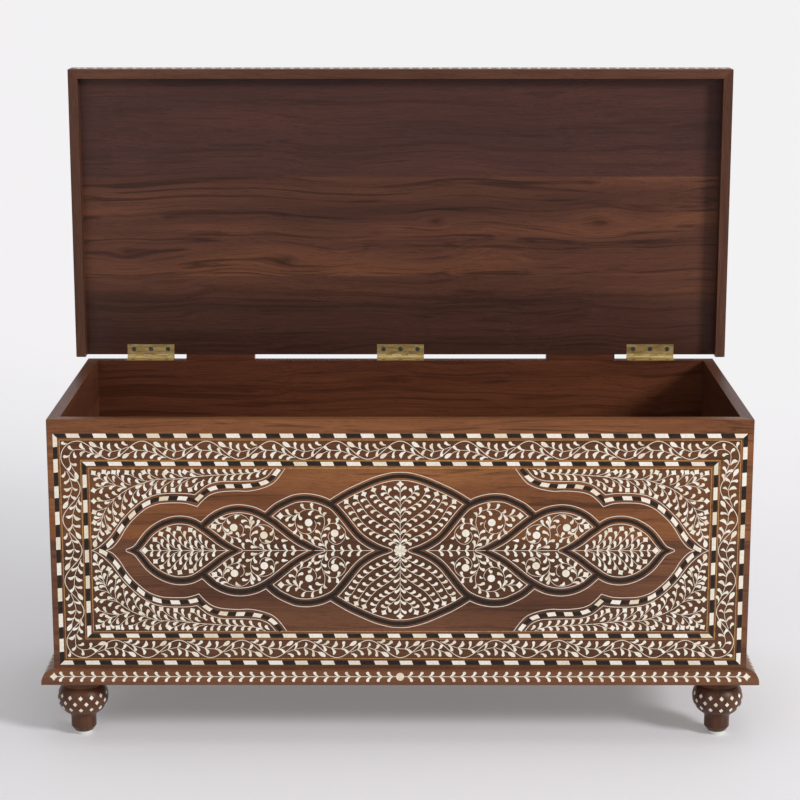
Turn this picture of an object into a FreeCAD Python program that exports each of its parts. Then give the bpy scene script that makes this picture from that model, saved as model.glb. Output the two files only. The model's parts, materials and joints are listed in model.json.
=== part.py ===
"""Bone inlay trunk: a plank box with an inlaid front and sides, on a moulded base with four turned feet,
under a rimmed lid that stands open on three butt hinges. Millimetres, +X to the viewer's right, +Y to the
back, +Z up. The origin is on the floor, under the middle of the bounding box."""
import FreeCAD, Part
import math
import os

from FreeCAD import Matrix, Placement, Rotation, Vector

# Box of planks
box_width = 1016.0
box_depth = 446.0
wall_height = 374.0
wall_thickness = 18.0
upper_plank_height = 180.0
box_edge_round = 1.5
bottom_thickness = 12.0
bottom_plank_count = 3
bottom_side_gap = 0.5
corner_spline_thickness = 3.0
corner_spline_width = 12.0
corner_spline_depth = 11.0
corner_spline_top_cover = 15.0

# Moulded base frame under the walls
base_thickness = 21.0
base_overhang = 17.0
base_ledge = 72.0
base_fillet_height = 4.0
base_edge_round = 1.0

# Turned feet, their bolts and glides
foot_inset_x = 36.0
foot_inset_y = 35.5
foot_collar_radius = 32.0
foot_collar_height = 13.0
foot_collar_round = 1.5
foot_quirk_radius = 30.0
foot_quirk_height = 2.0
foot_bulb_radius = 37.0
foot_bulb_centre_height = 55.0
foot_neck_radius = 21.6
foot_neck_height = 33.4
foot_hollow_radius = 19.4
foot_hollow_height = 30.4
foot_shaft_radius = 18.5
foot_shaft_top_height = 26.0
foot_shaft_foot_height = 12.5
foot_end_radius = 13.8
foot_height = 86.5
foot_bolt_radius = 4.0
foot_bolt_depth = 30.0
foot_bolt_above_base = 9.0
glide_radius = 12.5
glide_height = 6.0
glide_round = 1.2
glide_stem_radius = 2.5
glide_stem_length = 12.0

# Screws: head radius, head height, shank radius, length and the slot across the head
slot_width = 0.9
slot_depth = 1.0
screw_tip_length = 3.0
base_screw_sizes = dict(head_radius=4.0, head_height=3.0, shank_radius=2.0, length=45.0)
bottom_screw_sizes = dict(head_radius=3.5, head_height=2.5, shank_radius=1.75, length=26.0)
hinge_screw_sizes = dict(head_radius=3.8, head_height=2.6, shank_radius=1.8, length=15.0)
stop_screw_sizes = dict(head_radius=4.2, head_height=3.2, shank_radius=2.1, length=38.0)
base_screw_pitch = 290.0
base_screws_per_long_board = 4
base_screws_per_short_board = 2
bottom_screw_edge = 40.0
bottom_screw_side = 22.0

# Lid: three planks, rim boards under their edge, and the pins that fix the rims
lid_thickness = 19.0
lid_gap = 0.5
lid_back_inset = 0.5
lid_side_clearance = 1.5
lid_open_angle = 90.0
lid_back_plank_width = 129.0
lid_middle_plank_width = 161.0
lid_edge_round = 1.5
rim_thickness = 15.0
rim_depth = 22.0
rim_pin_radius = 3.0
rim_pin_length = 24.0
rim_pins_front = 5
rim_pins_side = 3
rim_pin_end_distance = 60.0

# Butt hinges
hinge_length = 76.2
hinge_spacing = 406.0
hinge_count = 3
leaf_width = 22.0
leaf_thickness = 2.0
pin_offset = 4.7
knuckle_count = 6
knuckle_radius = 4.4
knuckle_gap = 0.3
pin_radius = 2.0
pin_clearance = 0.05
hinge_screw_row = 14.0
hinge_screw_spacing = 27.7

# Lid stops on the back wall
stop_length = 111.0
stop_offset = 293.0
stop_depth = 25.0
stop_height = 40.0
stop_toe = 12.0
stop_contact_gap = 0.3
stop_screw_drop = 18.0
stop_screw_spacing = 60.0

# Inlay strips let into the front, the sides and the lid
inlay_depth = 2.0
line_width = 1.2
outer_band_width = 6.3
inner_band_width = 6.0
band_side_margin = 9.0
band_top_margin = 20.8
band_bottom_margin = 4.8
first_line_gap = 2.5
vine_side_width = 28.4
vine_end_width = 28.8
inner_band_gap = 1.6
third_line_gap = 2.8

# Cuts run this far past what they cut
overrun = 5.0

# Places that follow from the sizes
base_bottom_z = glide_height + foot_height
base_top_z = base_bottom_z + base_thickness
wall_top_z = base_top_z + wall_height
front_y = base_overhang - (box_depth + base_overhang + stop_depth) / 2
back_y = front_y + box_depth
middle_y = front_y + box_depth / 2
half_width = box_width / 2
seam_z = wall_top_z - upper_plank_height
pin_y = back_y + pin_offset
pin_z = wall_top_z + lid_gap / 2
lid_under_z = wall_top_z + lid_gap
lid_top_z = lid_under_z + lid_thickness
lid_half_width = half_width + lid_side_clearance + rim_thickness
lid_front_y = front_y - lid_side_clearance - rim_thickness
lid_back_y = back_y - lid_back_inset
lid_length = lid_back_y - lid_front_y
hinge_centres = [(i - (hinge_count - 1) / 2) * hinge_spacing for i in range(hinge_count)]
hinge_names = ["left", "centre", "right"]

X = Vector(1, 0, 0)
Y = Vector(0, 1, 0)
Z = Vector(0, 0, 1)


def block(x_range, y_range, z_range):
    """A box between two corners."""
    low = Vector(x_range[0], y_range[0], z_range[0])
    high = Vector(x_range[1], y_range[1], z_range[1])
    size = high - low
    return Part.makeBox(size.x, size.y, size.z, low)


def prism(points, direction):
    """A closed outline pushed along a direction."""
    return Part.Face(Part.makePolygon(points + points[:1])).extrude(direction)


def moved(shape, offset):
    """A copy of a shape, shifted."""
    copy = shape.copy()
    copy.translate(offset)
    return copy


def turned(shape, centre, axis, angle):
    """A copy of a shape, turned about an axis through a point."""
    copy = shape.copy()
    copy.rotate(centre, axis, angle)
    return copy


def drilled(shape, tools):
    """A shape with every tool that reaches it cut away."""
    near = [tool for tool in tools if shape.BoundBox.intersect(tool.BoundBox)]
    return shape.cut(near) if near else shape


def group(shapes):
    """Separate solids kept together as one node."""
    return Part.makeCompound([solid for shape in shapes for solid in shape.Solids])


def opened(shape):
    """A lid piece turned about the hinge pins from shut to its open rest."""
    return turned(shape, Vector(0, pin_y, pin_z), X, -lid_open_angle)


# Fasteners

def screw_blank(head_radius, head_height, shank_radius, length):
    """A countersunk screw without its slot: head face at the origin, point along -Z."""
    outline = [
        Vector(0, 0, 0),
        Vector(head_radius, 0, 0),
        Vector(shank_radius, 0, -head_height),
        Vector(shank_radius, 0, screw_tip_length - length),
        Vector(0, 0, -length),
    ]
    face = Part.Face(Part.makePolygon(outline + outline[:1]))
    return face.revolve(Vector(0, 0, 0), Z, 360).Solids[0]


def slotted(blank, head_radius, turn):
    """The same screw with its driver slot, turned about its own axis."""
    reach = head_radius + overrun
    slot = block((-reach, reach), (-slot_width / 2, slot_width / 2), (-slot_depth, overrun))
    slot.rotate(Vector(0, 0, 0), Z, turn)
    return blank.cut(slot)


def screw_set(sizes, places, axis):
    """Screws and their holes: heads at the given places, each head facing along the axis."""
    blank = screw_blank(**sizes)
    facing = Rotation(Z, axis)
    screws = []
    holes = []
    for index, place in enumerate(places):
        screw = slotted(blank, sizes["head_radius"], 360.0 * index / (len(places) + 1))
        for made, kept in ((screw, screws), (blank.copy(), holes)):
            made.Placement = Placement(place, facing)
            kept.append(made)
    return screws, holes


# Inlay strips

def strip_ring(width, height, insets, strip_width):
    """Four mitred strips round a width by height face, let in from its surface at z = 0."""
    left, bottom, right, top = insets[0], insets[1], width - insets[0], height - insets[2]
    outer = [Vector(left, bottom), Vector(right, bottom), Vector(right, top), Vector(left, top)]
    inner = [
        Vector(left + strip_width, bottom + strip_width),
        Vector(right - strip_width, bottom + strip_width),
        Vector(right - strip_width, top - strip_width),
        Vector(left + strip_width, top - strip_width),
    ]
    strips = []
    for i in range(len(outer)):
        following = (i + 1) % len(outer)
        corners = [outer[i], outer[following], inner[following], inner[i]]
        strips.append(prism(corners, Vector(0, 0, -inlay_depth)))
    return strips


def face_inlay(width, height, margins, vine_widths):
    """The outer banding, inner banding and gilt lines of one face, given its side, bottom and top margins
    and the width of the vine border at its sides and at its ends."""
    step = outer_band_width + first_line_gap
    first = [margin + step for margin in margins]
    second = [
        first[0] + line_width + vine_widths[0],
        first[1] + line_width + vine_widths[1],
        first[2] + line_width + vine_widths[1],
    ]
    inner = [inset + line_width + inner_band_gap for inset in second]
    third = [inset + inner_band_width + third_line_gap for inset in inner]
    lines = []
    for insets in (first, second, third):
        lines += strip_ring(width, height, insets, line_width)
    return {
        "outer_banding": strip_ring(width, height, margins, outer_band_width),
        "inner_banding": strip_ring(width, height, inner, inner_band_width),
        "gilt_lines": lines,
    }


def laid(strips, origin, across, up):
    """Strips moved from their flat drawing to a face of the trunk."""
    out = across.cross(up)
    matrix = Matrix(
        across.x, up.x, out.x, origin.x,
        across.y, up.y, out.y, origin.y,
        across.z, up.z, out.z, origin.z,
        0, 0, 0, 1,
    )
    placed = []
    for strip in strips:
        copy = strip.copy()
        copy.Placement = Placement(matrix)
        placed.append(copy)
    return placed


def box_inlay():
    """The inlay strips of the front and the two sides, as {node: [strips]}."""
    margins = (band_side_margin, band_bottom_margin, band_top_margin)
    vine_widths = (vine_side_width, vine_end_width)
    faces = {
        "front": (box_width, Vector(-half_width, front_y, base_top_z), X),
        "left": (box_depth, Vector(-half_width, back_y, base_top_z), -Y),
        "right": (box_depth, Vector(half_width, front_y, base_top_z), Y),
    }
    pieces = {}
    for side, (width, origin, across) in faces.items():
        for kind, strips in face_inlay(width, wall_height, margins, vine_widths).items():
            pieces[f"{side}_{kind}"] = laid(strips, origin, across, Z)
    return pieces


def lid_inlay():
    """The inlay strips of the lid's top, with the lid shut."""
    margins = (band_side_margin, band_side_margin, band_side_margin)
    vine_widths = (vine_side_width, vine_side_width)
    strips_by_kind = face_inlay(2 * lid_half_width, lid_length, margins, vine_widths)
    origin = Vector(-lid_half_width, lid_front_y, lid_top_z)
    return {f"lid_{kind}": laid(strips, origin, X, Y) for kind, strips in strips_by_kind.items()}


# Walls

def rounded_block(x_range, y_range, z_range, radius):
    """A box with its upright edges and its top edges eased."""
    solid = block(x_range, y_range, z_range)
    top = z_range[1]
    edges = []
    for edge in solid.Edges:
        heights = [vertex.Z for vertex in edge.Vertexes]
        upright = abs(heights[0] - heights[1]) > radius
        if upright or min(heights) > top - radius:
            edges.append(edge)
    return solid.makeFillet(radius, edges)


def wall_boards():
    """Four walls mitred at the corners, as {name: solid} at full height."""
    outer = {
        "front_left": Vector(-half_width, front_y, base_top_z),
        "front_right": Vector(half_width, front_y, base_top_z),
        "back_right": Vector(half_width, back_y, base_top_z),
        "back_left": Vector(-half_width, back_y, base_top_z),
    }
    inner_x = half_width - wall_thickness
    inner_front = front_y + wall_thickness
    inner_back = back_y - wall_thickness
    inner = {
        "front_left": Vector(-inner_x, inner_front, base_top_z),
        "front_right": Vector(inner_x, inner_front, base_top_z),
        "back_right": Vector(inner_x, inner_back, base_top_z),
        "back_left": Vector(-inner_x, inner_back, base_top_z),
    }
    ends = {
        "front": ("front_left", "front_right"),
        "right": ("front_right", "back_right"),
        "back": ("back_right", "back_left"),
        "left": ("back_left", "front_left"),
    }
    envelope = rounded_block(
        (-half_width, half_width), (front_y, back_y), (base_top_z, wall_top_z), box_edge_round
    )
    boards = {}
    for name, (start, end) in ends.items():
        outline = [outer[start], outer[end], inner[end], inner[start]]
        boards[name] = prism(outline, Vector(0, 0, wall_height)).common(envelope)
    return boards


def corner_splines():
    """A long key across each mitre, which hides inside the corner."""
    height = wall_height - corner_spline_top_cover
    half_length = corner_spline_width / 2
    half_thickness = corner_spline_thickness / 2
    splines = []
    for x_side in (-1, 1):
        for y_side, face_y in ((-1, front_y), (1, back_y)):
            key = block((-half_length, half_length), (-half_thickness, half_thickness), (0, height))
            key.rotate(Vector(0, 0, 0), Z, 45 * x_side * y_side + 90)
            splines.append(moved(key, Vector(
                x_side * (half_width - corner_spline_depth),
                face_y - y_side * corner_spline_depth,
                base_top_z,
            )))
    return splines


def halved(board):
    """A wall parted at its seam into its lower and its upper plank."""
    reach = box_width
    lower = block((-reach, reach), (-reach, reach), (base_top_z - overrun, seam_z))
    return {"lower": board.common(lower), "upper": board.cut(lower)}


def bottom_planks():
    """Planks side by side that lie on the base frame inside the walls."""
    low_x = -half_width + wall_thickness + bottom_side_gap
    low_y = front_y + wall_thickness + bottom_side_gap
    width = (back_y - wall_thickness - bottom_side_gap - low_y) / bottom_plank_count
    heights = (base_top_z, base_top_z + bottom_thickness)
    return [
        block((low_x, -low_x), (low_y + i * width, low_y + (i + 1) * width), heights)
        for i in range(bottom_plank_count)
    ]


def bottom_screw_places(planks):
    """Head places of the screws at both ends of every bottom plank."""
    places = []
    for plank in planks:
        bounds = plank.BoundBox
        for x in (bounds.XMin + bottom_screw_side, bounds.XMax - bottom_screw_side):
            for y in (bounds.YMin + bottom_screw_edge, bounds.YMax - bottom_screw_edge):
                places.append(Vector(x, y, bounds.ZMax))
    return places


# Base frame

def base_board(half_length, face_y, turn):
    """One mitred base board: an ovolo edge over a low fillet, drawn as the front board and then turned."""
    ovolo_radius = base_overhang
    fillet_top = base_bottom_z + base_fillet_height
    rise = base_thickness - base_fillet_height
    corner = base_edge_round * (1 - math.sqrt(0.5))
    start = Vector(0, base_ledge, base_bottom_z)
    points = {
        "round_start": Vector(0, base_edge_round - base_overhang, base_bottom_z),
        "round_middle": Vector(0, corner - base_overhang, base_bottom_z + corner),
        "round_end": Vector(0, -base_overhang, base_bottom_z + base_edge_round),
        "fillet_top": Vector(0, -base_overhang, fillet_top),
        "ovolo_middle": Vector(0, -ovolo_radius * math.sqrt(0.5), fillet_top + rise * math.sqrt(0.5)),
        "face": Vector(0, 0, base_top_z),
        "inner_top": Vector(0, base_ledge, base_top_z),
    }
    edges = [
        Part.LineSegment(start, points["round_start"]).toShape(),
        Part.Arc(points["round_start"], points["round_middle"], points["round_end"]).toShape(),
        Part.LineSegment(points["round_end"], points["fillet_top"]).toShape(),
        Part.Arc(points["fillet_top"], points["ovolo_middle"], points["face"]).toShape(),
        Part.LineSegment(points["face"], points["inner_top"]).toShape(),
        Part.LineSegment(points["inner_top"], start).toShape(),
    ]
    outer = half_length + base_overhang
    inner = half_length - base_ledge
    bar = Part.Face(Part.Wire(edges)).extrude(Vector(2 * outer, 0, 0))
    bar.translate(Vector(-outer, 0, 0))
    mitre = prism(
        [
            Vector(-outer, -base_overhang, base_bottom_z),
            Vector(outer, -base_overhang, base_bottom_z),
            Vector(inner, base_ledge, base_bottom_z),
            Vector(-inner, base_ledge, base_bottom_z),
        ],
        Vector(0, 0, base_thickness),
    )
    board = bar.common(mitre)
    board.translate(Vector(0, face_y, 0))
    return turned(board, Vector(0, 0, 0), Z, turn)


def base_boards():
    """The four boards of the base frame as {side: solid}."""
    drawn = {
        "front": (half_width, -box_depth / 2, 0),
        "right": (box_depth / 2, -half_width, 90),
        "back": (half_width, -box_depth / 2, 180),
        "left": (box_depth / 2, -half_width, 270),
    }
    return {
        side: moved(base_board(length, face, turn), Vector(0, middle_y, 0))
        for side, (length, face, turn) in drawn.items()
    }


def base_screw_places():
    """Head places of the screws that hold the walls down, on the frame's underside."""
    places = []
    inset = wall_thickness / 2
    for i in range(base_screws_per_long_board):
        x = (i - (base_screws_per_long_board - 1) / 2) * base_screw_pitch
        for y in (front_y + inset, back_y - inset):
            places.append(Vector(x, y, base_bottom_z))
    for i in range(base_screws_per_short_board):
        y = middle_y + (i - (base_screws_per_short_board - 1) / 2) * base_screw_pitch
        for x in (inset - half_width, half_width - inset):
            places.append(Vector(x, y, base_bottom_z))
    return places


# Feet

def foot_blank():
    """One turned foot about the Z axis, with its foot end at z = glide_height."""
    collar_z = base_bottom_z - foot_collar_height
    quirk = Vector(foot_quirk_radius, 0, collar_z - foot_quirk_height)
    bulge = Vector(foot_bulb_radius, 0, foot_bulb_centre_height)
    neck = Vector(foot_neck_radius, 0, foot_neck_height)
    hollow = Vector(foot_hollow_radius, 0, foot_hollow_height)
    shaft_top = Vector(foot_shaft_radius, 0, foot_shaft_top_height)
    outline = [
        quirk,
        Vector(foot_collar_radius, 0, collar_z),
        Vector(foot_collar_radius, 0, base_bottom_z),
        Vector(0, 0, base_bottom_z),
        Vector(0, 0, glide_height),
        Vector(foot_end_radius, 0, glide_height),
        Vector(foot_shaft_radius, 0, foot_shaft_foot_height),
        shaft_top,
    ]
    edges = [Part.LineSegment(here, there).toShape() for here, there in zip(outline, outline[1:])]
    edges.append(Part.Arc(shaft_top, hollow, neck).toShape())
    edges.append(Part.Arc(neck, bulge, quirk).toShape())
    foot = Part.Face(Part.Wire(edges)).revolve(Vector(0, 0, 0), Z, 360).Solids[0]
    rims = [
        edge for edge in foot.Edges
        if abs(edge.BoundBox.XMax - foot_collar_radius) < foot_collar_round / 2
        and edge.BoundBox.ZLength < foot_collar_round / 2
        and edge.BoundBox.ZMax < base_bottom_z
    ]
    return foot.makeFillet(foot_collar_round, rims)


def glide_blank():
    """A plastic glide: a disc with an eased lower edge and a stem that pushes up into the foot."""
    disc = Part.makeCylinder(glide_radius, glide_height)
    lower = [edge for edge in disc.Edges if edge.BoundBox.ZMax < glide_round]
    disc = disc.makeFillet(glide_round, lower)
    stem = Part.makeCylinder(glide_stem_radius, glide_height + glide_stem_length)
    return disc.fuse(stem).removeSplitter().Solids[0]


def bolt_blank():
    """A hanger bolt: from inside the foot, through the base frame, into the bottom plank."""
    length = foot_bolt_depth + base_thickness + foot_bolt_above_base
    bolt = Part.makeCylinder(foot_bolt_radius, length, Vector(0, 0, base_bottom_z - foot_bolt_depth))
    tips = [edge for edge in bolt.Edges if edge.BoundBox.ZLength < foot_bolt_radius / 2]
    return bolt.makeChamfer(foot_bolt_radius / 4, tips)


def foot_places():
    """Where the four feet stand, as {name: place}."""
    x = half_width - foot_inset_x
    ys = {"front": front_y + foot_inset_y, "back": back_y - foot_inset_y}
    return {
        f"{end}_{side}": Vector(sign * x, y, 0)
        for end, y in ys.items()
        for side, sign in (("left", -1), ("right", 1))
    }


# Lid

def lid_envelope():
    """The shut lid's outside, with eased upright and top edges."""
    return rounded_block(
        (-lid_half_width, lid_half_width),
        (lid_front_y, lid_back_y),
        (lid_under_z - rim_depth, lid_top_z),
        lid_edge_round,
    )


def lid_planks(envelope):
    """The lid's three planks, shut, as {name: solid}."""
    first = lid_back_y - lid_back_plank_width
    second = first - lid_middle_plank_width
    spans = {"back": (first, lid_back_y), "middle": (second, first), "front": (lid_front_y, second)}
    return {
        name: block((-lid_half_width, lid_half_width), span, (lid_under_z, lid_top_z)).common(envelope)
        for name, span in spans.items()
    }


def lid_rims(envelope):
    """The rim boards under the lid's front and side edges, mitred at the front corners."""
    low_z = lid_under_z - rim_depth
    up = Vector(0, 0, rim_depth)
    inner_x = lid_half_width - rim_thickness
    inner_y = lid_front_y + rim_thickness
    outlines = {"front": [
        (-lid_half_width, lid_front_y),
        (lid_half_width, lid_front_y),
        (inner_x, inner_y),
        (-inner_x, inner_y),
    ]}
    for name, sign in (("left", -1), ("right", 1)):
        outlines[name] = [
            (sign * lid_half_width, lid_front_y),
            (sign * lid_half_width, lid_back_y),
            (sign * inner_x, lid_back_y),
            (sign * inner_x, inner_y),
        ]
    return {
        name: prism([Vector(x, y, low_z) for x, y in outline], up).common(envelope)
        for name, outline in outlines.items()
    }


def rim_pins():
    """Wooden pins, half in a rim and half in the lid planks above it."""
    inset = rim_thickness / 2
    low = lid_under_z - rim_pin_length / 2
    places = []
    front_span = 2 * (lid_half_width - rim_pin_end_distance)
    for i in range(rim_pins_front):
        share = i / (rim_pins_front - 1)
        places.append((front_span * (share - 0.5), lid_front_y + inset))
    side_span = lid_length - 2 * rim_pin_end_distance
    for i in range(rim_pins_side):
        y = lid_front_y + rim_pin_end_distance + side_span * i / (rim_pins_side - 1)
        places += [(inset - lid_half_width, y), (lid_half_width - inset, y)]
    return [Part.makeCylinder(rim_pin_radius, rim_pin_length, Vector(x, y, low)) for x, y in places]


# Hinges

def knuckle_spans(centre_x):
    """Low and high x of each knuckle of one hinge, with half a gap left at both ends of each."""
    pitch = hinge_length / knuckle_count
    start = centre_x - hinge_length / 2
    return [
        (start + i * pitch + knuckle_gap / 2, start + (i + 1) * pitch - knuckle_gap / 2)
        for i in range(knuckle_count)
    ]


def leaf_plate(centre_x, plate_z):
    """The flat of a hinge leaf, which lies in its recess and ends level with the wall's back face."""
    half = hinge_length / 2
    return block((centre_x - half, centre_x + half), (pin_y - leaf_width, back_y), plate_z)


def hinge_leaf(centre_x, plate_z, first_knuckle, holes):
    """A hinge leaf with its share of the knuckles, bored for the pin and countersunk for its screws."""
    leaf = leaf_plate(centre_x, plate_z)
    bore = pin_radius + pin_clearance
    for low, high in knuckle_spans(centre_x)[first_knuckle::2]:
        barrel = Part.makeCylinder(knuckle_radius, high - low, Vector(low, pin_y, pin_z), X)
        tongue = block((low, high), (back_y - overrun, pin_y), plate_z)
        leaf = leaf.fuse([barrel, tongue])
    reach = hinge_length / 2 + overrun
    leaf = leaf.cut(Part.makeCylinder(bore, 2 * reach, Vector(centre_x - reach, pin_y, pin_z), X))
    return drilled(leaf, holes).removeSplitter().Solids[0]


def hinge_pin(centre_x):
    """A hinge pin as long as its hinge, with chamfered ends."""
    start = Vector(centre_x - hinge_length / 2, pin_y, pin_z)
    pin = Part.makeCylinder(pin_radius, hinge_length, start, X)
    ends = [edge for edge in pin.Edges if edge.BoundBox.XLength < pin_radius / 2]
    return pin.makeChamfer(pin_radius / 4, ends)


def hinge_screw_places(z):
    """Head places of the three screws in each leaf of each hinge."""
    return [
        Vector(centre + step * hinge_screw_spacing, pin_y - hinge_screw_row, z)
        for centre in hinge_centres
        for step in (-1, 0, 1)
    ]


# Lid stops

def lid_stop(centre_x):
    """A block on the back wall: low at the wall so that the lid's corner swings clear, and raised behind
    the hinge axis to carry the lid's back edge when it stands open."""
    rest_z = pin_z + pin_offset + lid_back_inset - stop_contact_gap
    low_z = wall_top_z - stop_height
    outer_y = back_y + stop_depth
    outline = [
        (back_y, low_z),
        (back_y + stop_toe, low_z),
        (outer_y, low_z + stop_depth - stop_toe),
        (outer_y, rest_z),
        (pin_y, rest_z),
        (pin_y, wall_top_z),
        (back_y, wall_top_z),
    ]
    start_x = centre_x - stop_length / 2
    return prism([Vector(start_x, y, z) for y, z in outline], Vector(stop_length, 0, 0))


def stop_screw_places():
    """Head places of the two screws in each lid stop, on its back face."""
    face_y = back_y + stop_depth
    z = wall_top_z - stop_screw_drop
    return [
        Vector(side * stop_offset + half * stop_screw_spacing / 2, face_y, z)
        for side in (-1, 1)
        for half in (-1, 1)
    ]


def build():
    """Every node of the trunk as {name: shape}, with the lid open."""
    nodes = {}

    # Fasteners and their holes, and the strips that are let into the faces
    bottoms = bottom_planks()
    base_screws, base_holes = screw_set(base_screw_sizes, base_screw_places(), -Z)
    bottom_screws, bottom_holes = screw_set(bottom_screw_sizes, bottom_screw_places(bottoms), Z)
    stop_screws, stop_holes = screw_set(stop_screw_sizes, stop_screw_places(), Y)
    box_hinge_screws, box_hinge_holes = screw_set(hinge_screw_sizes, hinge_screw_places(wall_top_z), Z)
    lid_hinge_screws, lid_hinge_holes = screw_set(hinge_screw_sizes, hinge_screw_places(lid_under_z), -Z)
    bolts = {name: moved(bolt_blank(), place) for name, place in foot_places().items()}
    glides = {name: moved(glide_blank(), place) for name, place in foot_places().items()}
    splines = corner_splines()
    strips = box_inlay()
    wall_tools = [strip for ring in strips.values() for strip in ring] + splines + base_holes + stop_holes

    # Hinges
    box_plate_z = (wall_top_z - leaf_thickness, wall_top_z)
    lid_plate_z = (lid_under_z, lid_under_z + leaf_thickness)
    for name, centre in zip(hinge_names, hinge_centres):
        nodes[f"hinge_{name}_box_leaf"] = hinge_leaf(centre, box_plate_z, 0, box_hinge_holes)
        nodes[f"hinge_{name}_lid_leaf"] = opened(hinge_leaf(centre, lid_plate_z, 1, lid_hinge_holes))
        nodes[f"hinge_{name}_pin"] = hinge_pin(centre)
    box_recesses = [leaf_plate(centre, box_plate_z) for centre in hinge_centres]
    lid_recesses = [leaf_plate(centre, lid_plate_z) for centre in hinge_centres]

    # Walls, bottom and corner splines
    wall_tools += box_recesses + box_hinge_holes
    for side, board in wall_boards().items():
        for level, plank in halved(board).items():
            nodes[f"{side}_plank_{level}"] = drilled(plank, wall_tools)
    for name, plank in zip(("front", "middle", "back"), bottoms):
        nodes[f"bottom_plank_{name}"] = drilled(plank, bottom_holes + list(bolts.values()))
    nodes["corner_splines"] = group(splines)
    for name, ring in strips.items():
        nodes[name] = group(ring)

    # Base frame and feet
    frame_tools = base_holes + bottom_holes + list(bolts.values())
    for side, board in base_boards().items():
        nodes[f"base_frame_{side}"] = drilled(board, frame_tools)
    for name, place in foot_places().items():
        nodes[f"foot_{name}"] = moved(foot_blank(), place).cut([bolts[name], glides[name]])
    nodes["foot_bolts"] = group(bolts.values())
    nodes["foot_glides"] = group(glides.values())
    nodes["base_frame_screws"] = group(base_screws)
    nodes["bottom_plank_screws"] = group(bottom_screws)

    # Lid stops and the screws on the box
    for name, sign in (("left", -1), ("right", 1)):
        nodes[f"lid_stop_{name}"] = lid_stop(sign * stop_offset).cut(stop_holes)
    nodes["lid_stop_screws"] = group(stop_screws)
    nodes["hinge_box_screws"] = group(box_hinge_screws)

    # Lid
    envelope = lid_envelope()
    lid_strips = lid_inlay()
    pins = rim_pins()
    lid_tools = [strip for ring in lid_strips.values() for strip in ring]
    lid_tools += pins + lid_recesses + lid_hinge_holes
    for name, plank in lid_planks(envelope).items():
        nodes[f"lid_plank_{name}"] = opened(drilled(plank, lid_tools))
    for name, rim in lid_rims(envelope).items():
        nodes[f"lid_rim_{name}"] = opened(drilled(rim, pins))
    nodes["lid_rim_pins"] = opened(group(pins))
    nodes["hinge_lid_screws"] = opened(group(lid_hinge_screws))
    for name, ring in lid_strips.items():
        nodes[name] = opened(group(ring))
    return nodes


os.makedirs("parts", exist_ok=True)
for node, shape in build().items():
    print(node, len(shape.Solids), "solids, volume", round(shape.Volume), "valid", shape.isValid())
    shape.exportStep(f"parts/{node}.step")
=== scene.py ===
# %% [markdown]
# # Bone inlay trunk
# The trunk is a walnut coloured box on four turned feet, with a rimmed lid that stands open on three brass
# hinges. Its front, sides and lid are inlaid: black and white banding, a vine border, leafy corners and a
# chain of interlaced medallions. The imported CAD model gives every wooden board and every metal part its
# place. This lesson adds the finishes and the thin bone pieces, and lights them as in the photograph.

# %% Load the frame
import json
import math

import bpy
import numpy as np
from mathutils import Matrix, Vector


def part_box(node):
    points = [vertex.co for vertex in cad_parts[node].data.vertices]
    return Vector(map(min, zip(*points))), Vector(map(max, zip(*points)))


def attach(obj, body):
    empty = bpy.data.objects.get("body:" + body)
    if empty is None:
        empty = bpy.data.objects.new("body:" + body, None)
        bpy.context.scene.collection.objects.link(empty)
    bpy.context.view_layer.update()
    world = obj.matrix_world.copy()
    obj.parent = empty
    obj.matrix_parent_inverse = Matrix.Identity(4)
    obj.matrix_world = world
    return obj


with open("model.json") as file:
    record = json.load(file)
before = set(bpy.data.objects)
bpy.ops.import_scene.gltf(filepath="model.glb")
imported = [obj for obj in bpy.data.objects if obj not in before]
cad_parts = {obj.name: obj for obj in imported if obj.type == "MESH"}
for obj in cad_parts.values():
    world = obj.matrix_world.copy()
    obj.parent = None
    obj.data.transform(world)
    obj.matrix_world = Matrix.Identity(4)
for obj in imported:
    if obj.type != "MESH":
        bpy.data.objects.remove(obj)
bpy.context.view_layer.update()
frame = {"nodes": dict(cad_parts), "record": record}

MM = 0.001

# %% [markdown]
# ## Colours
# Colours are read as the eye sees them on a screen, from 0 to 255. Blender mixes light, so each one is
# turned into a linear amount first. A small helper does this, which keeps the numbers below readable.


# %% Screen colours
def tint(red, green, blue):
    """Screen colour to linear: c = ((s + 0.055) / 1.055)^2.4 above 0.04, and s / 12.92 below."""
    s = np.array([red, green, blue]) / 255
    c = np.where(s > 0.04045, ((s + 0.055) / 1.055) ** 2.4, s / 12.92)
    return (*c.tolist(), 1.0)


print("bone", tint(232, 226, 208))

# %% [markdown]
# ## Node helpers
# Every finish is a small network of nodes. A few helpers write such a network in few words: one makes a
# new material with its shader, one feeds the inputs of a node, one adds a node, and one adds a colour
# ramp. Three short ones do the sums and products that the finishes share.


# %% Materials and nodes
def finish(name):
    """A new material: its tree, its shader and the coordinates of the object it is on."""
    material = bpy.data.materials.new(name)
    material.use_nodes = True
    tree = material.node_tree
    place = tree.nodes.new("ShaderNodeTexCoord").outputs["Object"]
    return material, tree, tree.nodes["Principled BSDF"], place


def feed(tree, target, **inputs):
    """Feeds a node's inputs: a socket is linked to the input, and anything else is set as its value. An
    input goes by its name, or by _ and its number where two have the same name."""
    for key, value in inputs.items():
        socket = target.inputs[int(key[1:]) if key[1:].isdigit() else key.replace("_", " ")]
        if isinstance(value, bpy.types.NodeSocket):
            tree.links.new(value, socket)
        else:
            socket.default_value = value


def node(tree, kind, output=None, settings=(), **inputs):
    """Adds a node, feeds it, and gives the output of that name, or all of them."""
    new = tree.nodes.new("ShaderNode" + kind)
    for key, value in dict(settings).items():
        setattr(new, key, value)
    feed(tree, new, **inputs)
    return new.outputs[output] if output else new.outputs


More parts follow.
